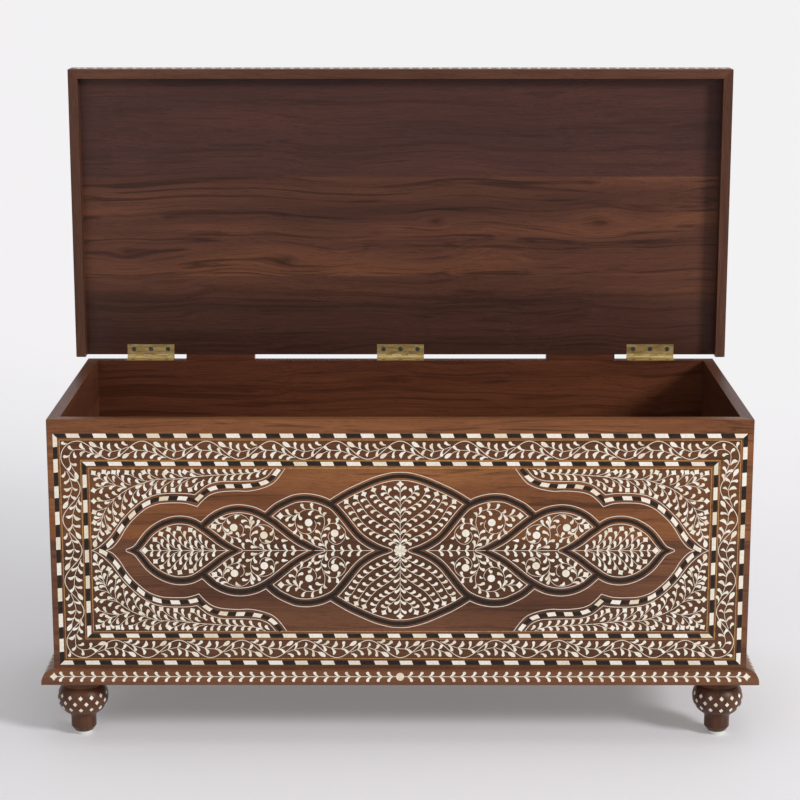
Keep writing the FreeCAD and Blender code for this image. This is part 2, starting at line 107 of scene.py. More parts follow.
def ramp(tree, source, stops):
    """A colour ramp: the colour at each stop's place, blended in between."""
    new = tree.nodes.new("ShaderNodeValToRGB")
    marks = new.color_ramp.elements
    while len(marks) < len(stops):
        marks.new(0.5)
    for mark, (where, colour) in zip(marks, stops):
        mark.position = where
        mark.color = colour
    feed(tree, new, Fac=source)
    return new.outputs["Color"]


print("node helpers ready")


# %% Sums and products
def sums(tree, operation, *values, kind="Math", output="Value"):
    """One sum, such as ADD, on numbers."""
    numbered = {"_" + str(k): value for k, value in enumerate(values)}
    return node(tree, kind, output, {"operation": operation}, **numbered)


def vectors(tree, operation, *values):
    """One sum on vectors, part by part."""
    return sums(tree, operation, *values, kind="VectorMath", output="Vector")


def product(tree, colour, *layers):
    """A colour multiplied by one layer after another."""
    for layer in layers:
        colour = node(tree, "MixRGB", "Color", {"blend_type": "MULTIPLY"}, Fac=1.0, Color1=colour,
                      Color2=layer)
    return colour


def grey(value):
    return (value, value, value, 1.0)


print("sums and products ready")

# %% [markdown]
# ## Wood
# The boards are a reddish brown hardwood under satin lacquer. Their grain runs the long way of each board:
# broad soft bands, thin darker lines, fine fibres and short pores. It could be painted as a picture, but
# a picture needs a file and shows seams. Four noises stretched along the grain give the same look on every
# face and at any size, because they are read at the place of the point in the object itself. A slow noise
# makes the grain wave, and round a knot it is pushed aside, as in a real board.

# %% Wood finish
TURNS = {"x": (0, 0, 0), "y": (0, 0, math.pi / 2), "z": (0, math.pi / 2, 0)}
WAVE, PUSH, KNOT_LENGTH = 0.034, -0.75, 0.45
# Each noise: its scale along the grain, its scale across it, its detail and its distortion.
BROAD, LINES = (1.1, 13.0, 4.0, 0.5), (1.7, 95.0, 3.0, 1.1)
FIBRE, PORES = (9.0, 620.0, 2.0, 0.0), (42.0, 1500.0, 1.0, 0.0)


def knot_shift(tree, place, waved, knot):
    """Grain pushed aside by PUSH * away * (1 - d), and d, which is 0 in the knot and 1 at its rim."""
    x, z, size = knot
    away = vectors(tree, "MULTIPLY_ADD", place, (1, 0, 1), (-x, 0, -z))
    flat = vectors(tree, "MULTIPLY", away, (KNOT_LENGTH / size, 0, 1 / size))
    far = sums(tree, "LENGTH", flat, kind="VectorMath")
    soft = {"interpolation_type": "SMOOTHSTEP"}
    push = node(tree, "MapRange", "Result", soft, Value=far, To_Min=PUSH, To_Max=0.0)
    return vectors(tree, "MULTIPLY_ADD", away, push, waved), far


def shaded(tree, source, colours):
    """A ramp through the dark, middle and light screen colour of a wood."""
    return ramp(tree, source, [(at, tint(*colour)) for at, colour in zip((0.30, 0.50, 0.72), colours)])


def wood(name, colours, seed, figure, grain="x", gloss=0.36, above=None, knots=()):
    """Colour = ramp(broad noise) * (1 - figure * lines) * fibres, with the fibres also as fine bumps.
    Above a height (level, half of the blend) the ramp has three other colours. A knot is (x, z, size)."""
    material, tree, shader, place = finish(name)
    slow = node(tree, "TexNoise", "Color", Vector=place, Scale=4.2, Detail=1.5)
    drift = vectors(tree, "SUBTRACT", slow, (0.5, 0.5, 0.5))
    waved = vectors(tree, "MULTIPLY_ADD", drift, (WAVE, WAVE, WAVE), place)
    cores = []
    for knot in knots:
        waved, far = knot_shift(tree, place, waved, knot)
        cores.append(ramp(tree, far, [(0.04, grey(0.50)), (0.16, grey(0.80)), (0.34, grey(1.0))]))
    start = (seed, seed * 0.7, seed * 1.3)
    where = node(tree, "Mapping", "Vector", Vector=waved, Rotation=TURNS[grain], Location=start)

    def stretched(along, across, detail, distortion):
        scaled = node(tree, "Mapping", "Vector", Vector=where, Scale=(along, across, across))
        return node(tree, "TexNoise", "Fac", Vector=scaled, Scale=1.0, Detail=detail, Roughness=0.55,
                    Distortion=distortion)

    broad, lines, fibre, pores = (stretched(*noise) for noise in (BROAD, LINES, FIBRE, PORES))
    base = shaded(tree, broad, colours)
    if above:
        level, blend, others = above
        height = node(tree, "SeparateXYZ", "Z", Vector=place)
        share = node(tree, "MapRange", "Result", Value=height, From_Min=level - blend, From_Max=level + blend)
        base = node(tree, "MixRGB", "Color", Fac=share, Color1=base, Color2=shaded(tree, broad, others))
    clear, line, half_line = grey(1.0), grey(1 - figure), grey(1 - figure / 2)
    layers = [
        ramp(tree, lines, [(0.36, line), (0.48, clear), (0.62, clear), (0.74, half_line)]),
        ramp(tree, fibre, [(0.25, grey(0.80)), (0.75, grey(1.14))]),
        ramp(tree, pores, [(0.30, grey(0.62)), (0.40, clear)]),
    ]
    height = sums(tree, "ADD", fibre, pores)
    bump = node(tree, "Bump", "Normal", Strength=0.22, Distance=0.0005, Height=height)
    shine = node(tree, "MapRange", "Result", Value=fibre, To_Min=gloss - 0.05, To_Max=gloss + 0.12)
    feed(tree, shader, Base_Color=product(tree, base, *layers, *cores), Normal=bump, Roughness=shine,
         Specular_IOR_Level=0.18, Coat_Weight=0.03, Coat_Roughness=0.30)
    return material


# %% Woods of the trunk
SEAM_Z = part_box("front_plank_upper")[0][2]
LID_MIDDLE = ((70, 42, 32), (93, 56, 42), (124, 76, 50))
GOLDEN_GROUND = ((88, 53, 32), (106, 65, 38), (129, 82, 47))
RIMS = ((74, 46, 34), (88, 55, 41), (102, 65, 48))
BASE = ((94, 58, 40), (112, 72, 50), (124, 82, 56))
KNOTS = [(-0.184, 0.648, 0.034), (-0.094, 0.620, 0.020), (0.057, 0.711, 0.026), (0.320, 0.708, 0.046),
         (-0.440, 0.662, 0.030)]
upper_front = wood("wood_front_upper", ((93, 55, 31), (125, 77, 46), (148, 96, 56)), 3.1, 0.46)
lower_front = wood("wood_front_lower", ((86, 53, 37), (107, 69, 48), (128, 83, 56)), 7.7, 0.30)
side_wood = wood("wood_sides", ((76, 44, 29), (90, 52, 35), (105, 64, 41)), 5.3, 0.34, "y")
back_wood = wood("wood_back", ((76, 40, 27), (91, 49, 32), (106, 60, 38)), 9.4, 0.38)
lid_back_wood = wood("wood_lid_back", ((58, 33, 27), (72, 43, 34), (84, 52, 40)), 1.9, 0.30,
                     above=(0.592, 0.012, LID_MIDDLE))
lid_middle_wood = wood("wood_lid_middle", LID_MIDDLE, 4.6, 0.52, knots=KNOTS)
lid_front_wood = wood("wood_lid_front", ((66, 41, 37), (77, 47, 41), (88, 54, 42)), 8.2, 0.24)
rim_wood = wood("wood_rims", RIMS, 2.4, 0.22)
rim_side_wood = wood("wood_rims_side", RIMS, 6.4, 0.22, "z")
base_wood = wood("wood_base_long", BASE, 6.1, 0.20)
base_side_wood = wood("wood_base_short", BASE, 6.9, 0.20, "y")
foot_wood = wood("wood_feet", ((66, 42, 32), (86, 56, 42), (108, 70, 48)), 2.2, 0.30, "z", 0.32)
inner_wood = wood("wood_inner_boards", ((104, 66, 46), (128, 84, 60), (146, 100, 72)), 1.2, 0.30, gloss=0.48)
ground_wood = wood("wood_inlay_ground", ((78, 49, 32), (90, 57, 38), (104, 67, 44)), 5.9, 0.30,
                   above=(SEAM_Z, 0.001, GOLDEN_GROUND))
lid_ground = wood("wood_lid_ground", ((66, 40, 30), (78, 48, 36), (90, 57, 42)), 6.6, 0.18)
print("wood finishes", len([m for m in bpy.data.materials if m.name.startswith("wood")]))

# %% [markdown]
# ## Bone, black and gilt
# Each leaf and tile is cut from another piece of bone, so the whites differ: most are cream, some greenish
# or pinkish. Every inlay piece carries a number called tone, the same all over that piece, and the bone
# finish turns it into a colour. Fine noise adds the faint pores of real bone. The black is a dull
# polished filler, and the gilt lines are thin and a little uneven.

# %% Bone, black and gilt
BONE_TONES = [
    (0.00, tint(224, 210, 184)), (0.15, tint(233, 221, 199)), (0.45, tint(239, 230, 214)),
    (0.75, tint(243, 236, 224)), (0.92, tint(233, 227, 207)), (1.00, tint(235, 216, 199)),
]


def bone_finish():
    """Colour = ramp(tone of the piece) * faint noise, with a low bump for the pores."""
    material, tree, shader, place = finish("bone")
    tone = node(tree, "Attribute", "Fac", {"attribute_name": "tone"})
    cloud = node(tree, "TexNoise", "Fac", Vector=place, Scale=260.0, Detail=3.0)
    pores = node(tree, "TexNoise", "Fac", Vector=place, Scale=2400.0, Detail=1.0)
    veil = ramp(tree, cloud, [(0.30, grey(0.86)), (0.60, grey(1.0))])
    bump = node(tree, "Bump", "Normal", Strength=0.12, Distance=0.0002, Height=pores)
    colour = product(tree, ramp(tree, tone, BONE_TONES), veil)
    feed(tree, shader, Base_Color=colour, Normal=bump, Roughness=0.34)
    return material


def mottled(name, low, high, scale, roughness, metallic=0.0, stretch=(1, 1, 1), specular=0.5):
    """Colour = ramp(noise) between a low and a high screen colour, with the same noise as a fine bump."""
    material, tree, shader, place = finish(name)
    scaled = node(tree, "Mapping", "Vector", Vector=place, Scale=stretch)
    cloud = node(tree, "TexNoise", "Fac", Vector=scaled, Scale=scale, Detail=4.0)
    colour = ramp(tree, cloud, [(0.35, tint(*low)), (0.65, tint(*high))])
    bump = node(tree, "Bump", "Normal", Strength=0.3, Distance=0.0002, Height=cloud)
    rough = node(tree, "MapRange", "Result", Value=cloud, To_Min=roughness * 0.8, To_Max=roughness * 1.2)
    feed(tree, shader, Base_Color=colour, Normal=bump, Roughness=rough, Metallic=metallic,
         Specular_IOR_Level=specular)
    return material


bone = bone_finish()
black = mottled("black_filler", (29, 22, 18), (42, 34, 28), 180.0, 0.42, specular=0.2)
gilt = mottled("gilt_lines", (146, 104, 56), (186, 140, 78), 420.0, 0.42, 0.25)
brass = mottled("hinge_brass", (172, 142, 84), (214, 190, 130), 90.0, 0.34, 0.65, (0.6, 3, 3))
steel = mottled("dark_steel", (92, 90, 86), (132, 128, 122), 600.0, 0.34, 0.85)
plastic = mottled("white_glide", (206, 206, 200), (226, 226, 220), 300.0, 0.38)
print("other finishes", bone.name, black.name, gilt.name, brass.name, steel.name, plastic.name)

# %% [markdown]
# ## Finishes on the CAD parts
# The boards, feet, hinges and screws already have their right shapes, so they stay as they are. Each one
# only gets its finish, by putting the material into the slots of its object.

# %% Finishes on the CAD parts
FINISH_OF = {
    "walnut_wall": back_wood, "lid_wood": lid_middle_wood, "rim_wood": rim_wood, "moulding_wood": base_wood,
    "turned_wood": foot_wood, "plain_wood": inner_wood, "black_inlay": black, "gilt_line": gilt,
    "hinge_brass": brass, "dark_steel": steel, "white_glide": plastic,
}
OWN_FINISH = {
    "front_plank_upper": upper_front, "front_plank_lower": lower_front, "lid_plank_back": lid_back_wood,
    "lid_plank_front": lid_front_wood,
}
for side in ("left", "right"):
    OWN_FINISH.update({
        side + "_plank_upper": side_wood, side + "_plank_lower": side_wood, "lid_rim_" + side: rim_side_wood,
        "lid_stop_" + side: back_wood, "base_frame_" + side: base_side_wood,
    })


def dress(thing, material):
    """Puts one material into every slot of an object."""
    if not thing.material_slots:
        thing.data.materials.append(material)
    for held in thing.material_slots:
        held.material = material


for part in frame["record"]["subparts"]:
    dress(frame["nodes"][part["node"]], OWN_FINISH.get(part["node"], FINISH_OF[part["material_slot"]]))

# %% [markdown]
# ## Lines and flat pieces
# All the inlay is thin flat work: strips that follow a curve, and small shapes cut to an outline. Both are
# worked out in millimetres on the flat face, as across and up, and lifted off the face by a fraction of a
# millimetre. A curve could be a Blender curve with a bevel, but whole arrays of points are quicker to
# place by the hundred, and give closed solids with few faces.

# %% Curves through points
SUNK, UNEVEN, LINE, LINE_TONE, SHARPEST = -0.4, 0.04, 0.45, 0.97, 0.22


def lengths(path):
    """How far along its path each point is: the running sum of the steps' lengths."""
    return np.concatenate([[0], np.cumsum(np.linalg.norm(np.diff(path, axis=0), axis=1))])


def point_at(path, at, values=None):
    """The place on a path at the lengths at, or there another pair of values that its points have."""
    run, pairs = lengths(path), path if values is None else values
    return np.stack([np.interp(at, run, pairs[:, k]) for k in (0, 1)], -1)


def spread(path, gap):
    """The same path with evenly spaced points, at most gap apart along its length."""
    total = lengths(path)[-1]
    return point_at(path, np.linspace(0, total, max(2, math.ceil(total / gap) + 1)))


def smooth(points, gap=2.4):
    """Catmull-Rom curve: between b and c, p(t) = b + (c-a)t/2 + (2a-5b+4c-d)t^2/2 + (3b-a-3c+d)t^3/2."""
    p = np.asarray(points, float)
    p = np.vstack([2 * p[0] - p[1], p, 2 * p[-1] - p[-2]])
    a, b, c, d = p[:-3], p[1:-2], p[2:-1], p[3:]
    t = np.linspace(0, 1, 12, endpoint=False)[:, None, None]
    fine = b + (c - a) * t / 2 + (2 * a - 5 * b + 4 * c - d) * t**2 / 2 + (3 * b - a - 3 * c + d) * t**3 / 2
    return spread(np.vstack([fine.transpose(1, 0, 2).reshape(-1, 2), p[-2:-1]]), gap)


def sideways(path, closed=False):
    """Left-hand normals that keep a strip's width round a corner: (m + n) / (1 + m.n) of its two runs."""
    step = np.diff(np.vstack([path, path[:1]]) if closed else path, axis=0)
    step = step / np.linalg.norm(step, axis=1)[:, None]
    left = np.column_stack([-step[:, 1], step[:, 0]])
    before = np.roll(left, 1, axis=0) if closed else np.vstack([left[:1], left])
    after = left if closed else np.vstack([left, left[-1:]])
    return (before + after) / np.maximum(1 + (before * after).sum(1), SHARPEST)[:, None]


print("a curve of", len(smooth([(0, 0), (10, 5), (20, 0)])), "points")


# %% Strips and cut pieces
def band(left, right, top, closed=False):
    """A flat strip between two edges of equally many points, at the heights top and SUNK."""
    count = len(left)
    ring = np.stack([left, right, right, left], axis=1)
    height = np.tile([top, top, SUNK, SUNK], (count, 1))[..., None]
    points = np.concatenate([ring, height], axis=2).reshape(-1, 3)
    here = np.arange(count if closed else count - 1)[:, None]
    there = (here + 1) % count
    edge, following = np.arange(4)[None], (np.arange(4)[None] + 1) % 4
    quads = np.stack([here * 4 + following, there * 4 + following, there * 4 + edge, here * 4 + edge], -1)
    faces = quads.reshape(-1, 4).tolist()
    if not closed:
        last = (count - 1) * 4
        faces += [[3, 2, 1, 0], [last, last + 1, last + 2, last + 3]]
    return points, faces, np.full(len(points), LINE_TONE)


def strip(path, half, top, closed=False):
    """A strip of even width along a path: its edges are path + n * half and path - n * half."""
    normal = sideways(path, closed) * half
    return band(path + normal, path - normal, top, closed)


def cut(outlines, top, tone=None):
    """Flat pieces: each outline is copied at the heights top and SUNK and its two rings are joined. Tone is
    the fractional part of sin(12.9 x + 78.2 y) * 43758 at the piece's middle. It lifts the piece by
    UNEVEN * tone."""
    o = np.asarray(outlines, float)
    x, y = o[..., 0], o[..., 1]
    area = (x * np.roll(y, -1, 1) - y * np.roll(x, -1, 1)).sum(1)
    o = np.where((area < 0)[:, None, None], o[:, ::-1], o)
    pieces, count = o.shape[:2]
    tones = np.abs(np.sin(o.mean(1) @ [12.9, 78.2]) * 43758) % 1 if tone is None else np.full(pieces, tone)
    level = np.stack([top + UNEVEN * tones, np.full(pieces, SUNK)], axis=1)
    height = np.broadcast_to(level[:, :, None, None], (pieces, 2, count, 1))
    points = np.concatenate([np.repeat(o[:, None], 2, axis=1), height], axis=3).reshape(-1, 3)
    index = np.arange(pieces * 2 * count).reshape(pieces, 2, count)
    upper, under = index[:, 0], index[:, 1]
    side = np.stack([under, np.roll(under, -1, 1), np.roll(upper, -1, 1), upper], axis=-1)
    faces = upper.tolist() + under[:, ::-1].tolist() + side.reshape(-1, 4).tolist()
    return points, faces, np.repeat(tones, 2 * count)


def disc(places, radius, points=14):
    """Outlines of discs or turned polygons: place + radius * (cos, sin)."""
    angle = np.linspace(0, 2 * np.pi, points, endpoint=False)
    return np.asarray(places, float)[:, None] + radius * np.stack([np.cos(angle), np.sin(angle)], -1)[None]


print("a disc has", len(cut(disc([(0, 0)], 5.8), 0.2)[1]), "faces")

# %% [markdown]
# ## Faces of the trunk
# The same patterns go on four flat faces. Each face gets a small frame of its own: where its middle is,
# and which ways are across, up and out. The banding strips of the CAD model say where the middle is and
# how big each face's rectangles are, so the bone follows the wood if the model changes.

# %% Faces
GILT, OUTER_GAP, INNER_GAP = 1.2, 2.5, 1.6
OUTER_BAND, INNER_BAND, FIELD_GAP = 6.3, 6.0, 2.8


def face_of(name, across, up, body):
    """The middle of the outer banding's outer side, and the half sizes of both bandings."""
    across, up = np.array(across, float), np.array(up, float)
    out = np.cross(across, up)
    low, high = (np.array(c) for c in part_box(name + "_outer_banding"))
    inner = np.subtract(*(np.array(c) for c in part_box(name + "_inner_banding")[::-1]))
    size = high - low
    level = np.where(out > 0, high, low) * np.abs(out)
    middle = (low + high) / 2 * (1 - np.abs(out)) + level
    halves = [np.array([np.abs(s @ across), np.abs(s @ up)]) / 2 / MM for s in (size, inner)]
    return {"name": name, "middle": middle, "across": across, "up": up, "out": out, "body": body,
            "outer": halves[0], "inner": halves[1], "ground": lid_ground if body == "lid" else ground_wood}


FACES = {
    "front": face_of("front", (1, 0, 0), (0, 0, 1), "box"),
    "left": face_of("left", (0, -1, 0), (0, 0, 1), "box"),
    "right": face_of("right", (0, 1, 0), (0, 0, 1), "box"),
    "lid": face_of("lid", (1, 0, 0), (0, 0, -1), "lid"),
}
for key, face in FACES.items():
    print(key, face["middle"].round(4), "outer", face["outer"].round(2), "inner", face["inner"].round(2))


# %% Making a piece
def on_face(face, points):
    """Flat place (across, up, height) in mm to metres: middle + a * across + b * up + h * out."""
    return face["middle"] + MM * (points @ np.stack([face["across"], face["up"], face["out"]]))


def make(name, chunks, place, body, material):
    """Joins strips and cut pieces into one object, puts them in place, and lets them ride on a body."""
    points = np.vstack([c[0] for c in chunks])
    starts = np.cumsum([0] + [len(c[0]) for c in chunks[:-1]])
    faces = [[i + start for i in face] for start, chunk in zip(starts.tolist(), chunks) for face in chunk[1]]
    mesh = bpy.data.meshes.new(name)
    mesh.from_pydata(place(points).tolist(), [], faces)
    tone = mesh.attributes.new("tone", "FLOAT", "POINT")
    tone.data.foreach_set("value", np.concatenate([c[2] for c in chunks]).astype(np.float32))
    mesh.materials.append(material)
    thing = bpy.data.objects.new(name, mesh)
    bpy.context.scene.collection.objects.link(thing)
    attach(thing, body)
    print(name, len(faces), "faces, from", points.min(0).round(1), "to", points.max(0).round(1))


def inlay(face, name, chunks, material=bone):
    """Flat pieces on one face of the trunk."""
    make(face["name"] + "_" + name, chunks, lambda p: on_face(face, p), face["body"], material)


# %% [markdown]
# ## Leaves
# The maker uses a few cut shapes again and again: a comma leaf with a round head, a half-heart leaf, a
# long end leaf, a star with four hollow sides, and a round disc. A leaf is given by four numbers, its head
# and its tail, and bends the way its stem grows. One function turns a whole list of them into outlines.

# %% Leaf outlines
BOW, LEAN_GAIN = 0.14, 1.6
COMMA_BODY = np.array([0.0, 0.36, 0.64])
COMMA_HEAD = np.radians([112, 75, 37, 0, -37, -75, -112])
HEART = np.array([(0, 0), (0.20, 0.22), (0.39, 0.40), (0.58, 0.47), (0.745, 0.46), (0.87, 0.28),
                  (1, 0), (0.85, -0.02), (0.65, 0.02), (0.37, 0.05), (0.1, -0.03)])
END_LEAF = np.array([(0, 0), (0.15, 0.13), (0.38, 0.26), (0.64, 0.29), (0.86, 0.18), (1, 0),
                     (0.90, -0.17), (0.68, -0.27), (0.42, -0.24), (0.18, -0.12)])


def growth_at(stems, places):
    """The direction of the nearest stem at each place."""
    path = np.vstack([s[:-1] for s in stems])
    way = np.vstack([np.diff(s, axis=0) for s in stems])
    nearest = ((places[:, None] - path[None]) ** 2).sum(-1).argmin(1)
    return way[nearest] / np.linalg.norm(way[nearest], axis=1)[:, None]


def along_leaf(marks, stems):
    """Head, tail, length, unit vector along each leaf, its left normal, and how far growth is to the left."""
    marks = np.asarray(marks, float)
    head, tail = marks[:, :2], marks[:, 2:]
    length = np.linalg.norm(head - tail, axis=1)[:, None]
    along = (head - tail) / length
    left = np.column_stack([-along[:, 1], along[:, 0]])
    lean = (growth_at(stems, tail) * left).sum(1)[:, None]
    return head, tail, length, along, left, lean


def commas(marks, stems, radius=2.45, tail_half=0.35):
    """Comma leaves: half width w = w0 + (r - w0) u^1.1 on a line bowed by 4 BOW u (1 - u), and a round
    head."""
    head, tail, length, along, left, lean = along_leaf(marks, stems)
    u = COMMA_BODY[None, :, None]
    centre = tail[:, None] + (along * length)[:, None] * u
    centre = centre + (left * length * BOW * np.clip(lean * LEAN_GAIN, -1, 1))[:, None] * 4 * u * (1 - u)
    wide = (tail_half + (radius - tail_half) * u**1.1) * left[:, None]
    cap = np.cos(COMMA_HEAD)[:, None] * along[:, None] + np.sin(COMMA_HEAD)[:, None] * left[:, None]
    return np.hstack([centre + wide, head[:, None] + radius * cap, (centre - wide)[:, ::-1]])


def shaped(marks, stems, shape, width=1.0):
    """Leaves cut to a unit outline: tail + length * (x * along + y * left), turned over to face growth."""
    head, tail, length, along, left, lean = along_leaf(marks, stems)
    facing = np.where(lean < 0, -1.0, 1.0)
    x, y = shape[None, :, 0, None], shape[None, :, 1, None] * width
    return tail[:, None] + length[:, None] * (x * along[:, None] + y * (left * facing)[:, None])


def stars(places, stems, corner=4.7, hollow=3.0):
    """Stars of four points: radius corner and hollow by turns, one corner towards the nearest stem's end."""
    places = np.asarray(places, float)
    tips = np.vstack([s[-1:] for s in stems])
    nearest = tips[((places[:, None] - tips[None]) ** 2).sum(-1).argmin(1)]
    turn = np.arctan2(*(nearest - places).T[::-1])[:, None] + np.arange(8) * np.pi / 4
    radius = np.where(np.arange(8) % 2, hollow, corner)
    return places[:, None] + radius[None, :, None] * np.stack([np.cos(turn), np.sin(turn)], -1)


print("comma points", len(COMMA_BODY) * 2 + len(COMMA_HEAD), "heart points", len(HEART))

# %% [markdown]
# ## Banding tiles
# Two rectangles of black and white tiles frame each face. The black is one strip of the CAD model on each
# side, mitred at the corners, and the white tiles lie on it. They are parallelograms, a little uneven as
# hand work is. Going round the face the same way on every side, each outer strip starts with a white tile
# and ends with a black one, and each inner strip the other way round.

# %% Sides of a rectangle
# Each side: the corner it starts from, the way it runs and the way outward.
SIDES = [
    ((1, 1), (-1, 0), (0, 1)),
    ((-1, 1), (0, -1), (-1, 0)),
    ((-1, -1), (1, 0), (0, -1)),
    ((1, -1), (0, 1), (1, 0)),
]


def beside(side, half, s, t):
    """Place at s along a side of a rectangle and t outside it: corner * half + s * way + t * outward."""
    corner, way, outward = (np.array(v, float) for v in side)
    return corner * half + np.asarray(s, float)[..., None] * way + np.asarray(t, float)[..., None] * outward


print("a side starts at", beside(SIDES[0], np.array([10.0, 5.0]), 0, 0))

# %% Tiles
TILE_TOP, TILE_SHARE, TILE_PERIOD, TILE_UNEVEN = 0.14, 0.49, 38.0, 1.1
TILE_LEANS = (1.15, 0.35)
rng = np.random.default_rng(11)


def tiles(half, wide, white_first):
    """White tiles: s from k p to (k + TILE_SHARE) p, the outer edge pushed on and the inner one back."""
    outlines = []
    for number, side in enumerate(SIDES):
        length, lean = 2 * half[number % 2], TILE_LEANS[number % 2]
        count = round(length / TILE_PERIOD)
        step = length / count
        start = (np.arange(count) + (0 if white_first else 1 - TILE_SHARE)) * step
        end = start + TILE_SHARE * step
        start[1:] += rng.uniform(-TILE_UNEVEN, TILE_UNEVEN, count)[1:]
        end[:-1] += rng.uniform(-TILE_UNEVEN, TILE_UNEVEN, count)[:-1]
        if white_first:
            start[0] = -lean - wide
        else:
            end[-1] = length + lean + wide
        outer = np.clip(np.stack([start, end], 1) + lean, 0, length)
        inner = np.clip(np.stack([end, start], 1) - lean, wide, length - wide)
        outlines.append(np.hstack([beside(side, half, outer, 0), beside(side, half, inner, -wide)]))
    return np.vstack(outlines)


for face in FACES.values():
    outer, inner = tiles(face["outer"], OUTER_BAND, True), tiles(face["inner"], INNER_BAND, False)
    inlay(face, "banding_tiles", [cut(outer, TILE_TOP), cut(inner, TILE_TOP)])

# %% [markdown]
# ## Vine border
# Between the two bandings a bone line waves along all four sides. Leafy sprigs sit under each crest and in
# each trough, all growing the same way round, and at each corner the wave turns in a quarter circle with
# one long sprig that bends round with it. One crest sprig, one trough sprig and one corner sprig were
# measured, and they repeat along the wave: s runs along the side from the crest, and t is outward.

# %% Sprigs
PERIOD, TURN, CREST_IN = 92.7, 24.5, 1.0
CREST_SPRIG = {
    "stems": [
        [(-34, -25), (-22, -19.5), (-16.5, -17.5), (-7, -14.5), (6.5, -13.5), (12.5, -15), (19, -18.5)],
    ],
    "commas": [(-24, -26, -32, -24), (-17, -12, -22, -19), (-13, -24, -22, -20), (15, -9, 7, -13),
               (10, -23, 7, -14)],
    "hearts": [(-5, -4, -8, -15), (-1, -26, -8, -15)],
    "ends": [(29, -25, 18, -18)],
}
TROUGH_SPRIG = {
    "stems": [[(-26.5, -18.5), (-16.5, -14.5), (-2, -11.5), (8.5, -14.5), (18.5, -18.5)]],
    "commas": [(-19, -24, -26, -21), (-9, -21, -16, -15), (-13, -6, -16, -14), (12, -23, 9, -14),
               (14, -9, 9, -14)],
    "hearts": [(0, -24, -2, -12), (1, -3, -2, -11)],
    "ends": [(30, -25, 18, -18)],
}
CORNER_SPRIG = {
    "stems": [
        [(-35.5, -21), (-22, -18.5), (-15, -16.5), (-10, -14)],
        [(-10, -14), (-7, -13), (0.5, -12.5), (5, -13), (9.5, -16.5), (12.5, -22.5), (12.5, -27), (11, -33),
         (8, -40.5), (4.5, -46.5)],
    ],
    "commas": [
        (-26, -23, -34, -22), (-19, -11, -23, -18), (-15, -22, -23, -19), (12, -9, 6, -13), (4, -23, 5, -16),
        (19, -23, 12, -21), (4, -35, 11, -32), (14, -42, 11, -34), (21.3, -3.0, 15.2, -3.7),
    ],
    "hearts": [(-5, -2, -11, -13), (-4, -23, -11, -15)],
    "ends": [(1, -57, 5, -45)],
}
STEM, VINE_LINE, STEM_TOP, LINE_TOP, LEAF_TOP, DISC_TOP = 0.36, 0.5, 0.18, 0.21, 0.24, 0.28
STEM_GAP, SPRIG_HEAD, SPRIG_HEART, SPRIG_END = 3.0, 2.35, 0.88, 0.82


def sprig(design, place):
    """Strips and cut pieces of one sprig, with each of its points put where place(s, t) says."""
    def put(marks):
        marks = np.asarray(marks, float)
        return np.hstack([place(*marks[:, :2].T), place(*marks[:, 2:].T)])

    stems = [smooth(place(*np.asarray(s, float).T), STEM_GAP) for s in design["stems"]]
    return [strip(s, STEM, STEM_TOP) for s in stems] + [
        cut(commas(put(design["commas"]), stems, SPRIG_HEAD), LEAF_TOP),
        cut(shaped(put(design["hearts"]), stems, HEART, SPRIG_HEART), LEAF_TOP),
        cut(shaped(put(design["ends"]), stems, END_LEAF, SPRIG_END), LEAF_TOP),
    ]


print("comma leaves of the sprigs", [len(d["commas"]) for d in (CREST_SPRIG, TROUGH_SPRIG, CORNER_SPRIG)])


# %% The vine round a face
WAVE_POINTS, TURN_POINTS = 28, 10


def vine(face):
    """Wave t = A (cos(2 pi s / p) - 1) from crest to crest on each side, and quarter circles of radius
    TURN between the sides."""
    half = face["outer"] - OUTER_BAND - OUTER_GAP - GILT - CREST_IN
    room = half - (face["inner"] + INNER_GAP + GILT) - CREST_IN
    chunks, wave = [], []
    for number, side in enumerate(SIDES):
        length = 2 * (half[number % 2] - TURN)
        swing = room[1 - number % 2] / 2
        count = round(length / PERIOD)
        step = length / count
        s = np.linspace(0, length, count * WAVE_POINTS + 1)
        wave.append(beside(side, half, s + TURN, swing * (np.cos(2 * np.pi * s / step) - 1)))
        angle = np.linspace(0, np.pi / 2, TURN_POINTS)[1:-1]
        wave.append(beside(side, half, TURN + length + TURN * np.sin(angle), TURN * (np.cos(angle) - 1)))
        for k in range(count):
            crest, trough = TURN + k * step, TURN + (k + 0.5) * step
            chunks += sprig(TROUGH_SPRIG, lambda u, v: beside(side, half, trough + u * step / PERIOD,
                                                              -2 * swing - v))
            if k:
                chunks += sprig(CREST_SPRIG, lambda u, v: beside(side, half, crest + u * step / PERIOD, v))
        chunks += sprig(CORNER_SPRIG, lambda u, v: beside(side, half, TURN + length + u, v))
    return chunks + [strip(np.vstack(wave), VINE_LINE, LINE_TOP, closed=True)]


for face in FACES.values():
    inlay(face, "vine", vine(face))

# %% [markdown]
# ## Red ground
# Under the vine, the leafy corners and the medallions the maker lays a slightly redder ground than the
# board around it. It is a hair thicker than the board, so it shows as its own surface without a gap.

# %% Ground under the vine
GROUND_TOP = 0.03


def frame_ground(face):
    """Four mitred boards between the gilt lines: a is the vine's outer rectangle and b its inner one."""
    a = face["outer"] - OUTER_BAND - OUTER_GAP - GILT
    b = face["inner"] + INNER_GAP + GILT
    corner = np.array([(1, 1), (-1, 1), (-1, -1), (1, -1)], float)
    following = np.roll(corner, -1, 0)
    return np.stack([corner * a, following * a, following * b, corner * b], axis=1)


for face in FACES.values():
    inlay(face, "vine_ground", [cut(frame_ground(face), GROUND_TOP, 0.0)], face["ground"])

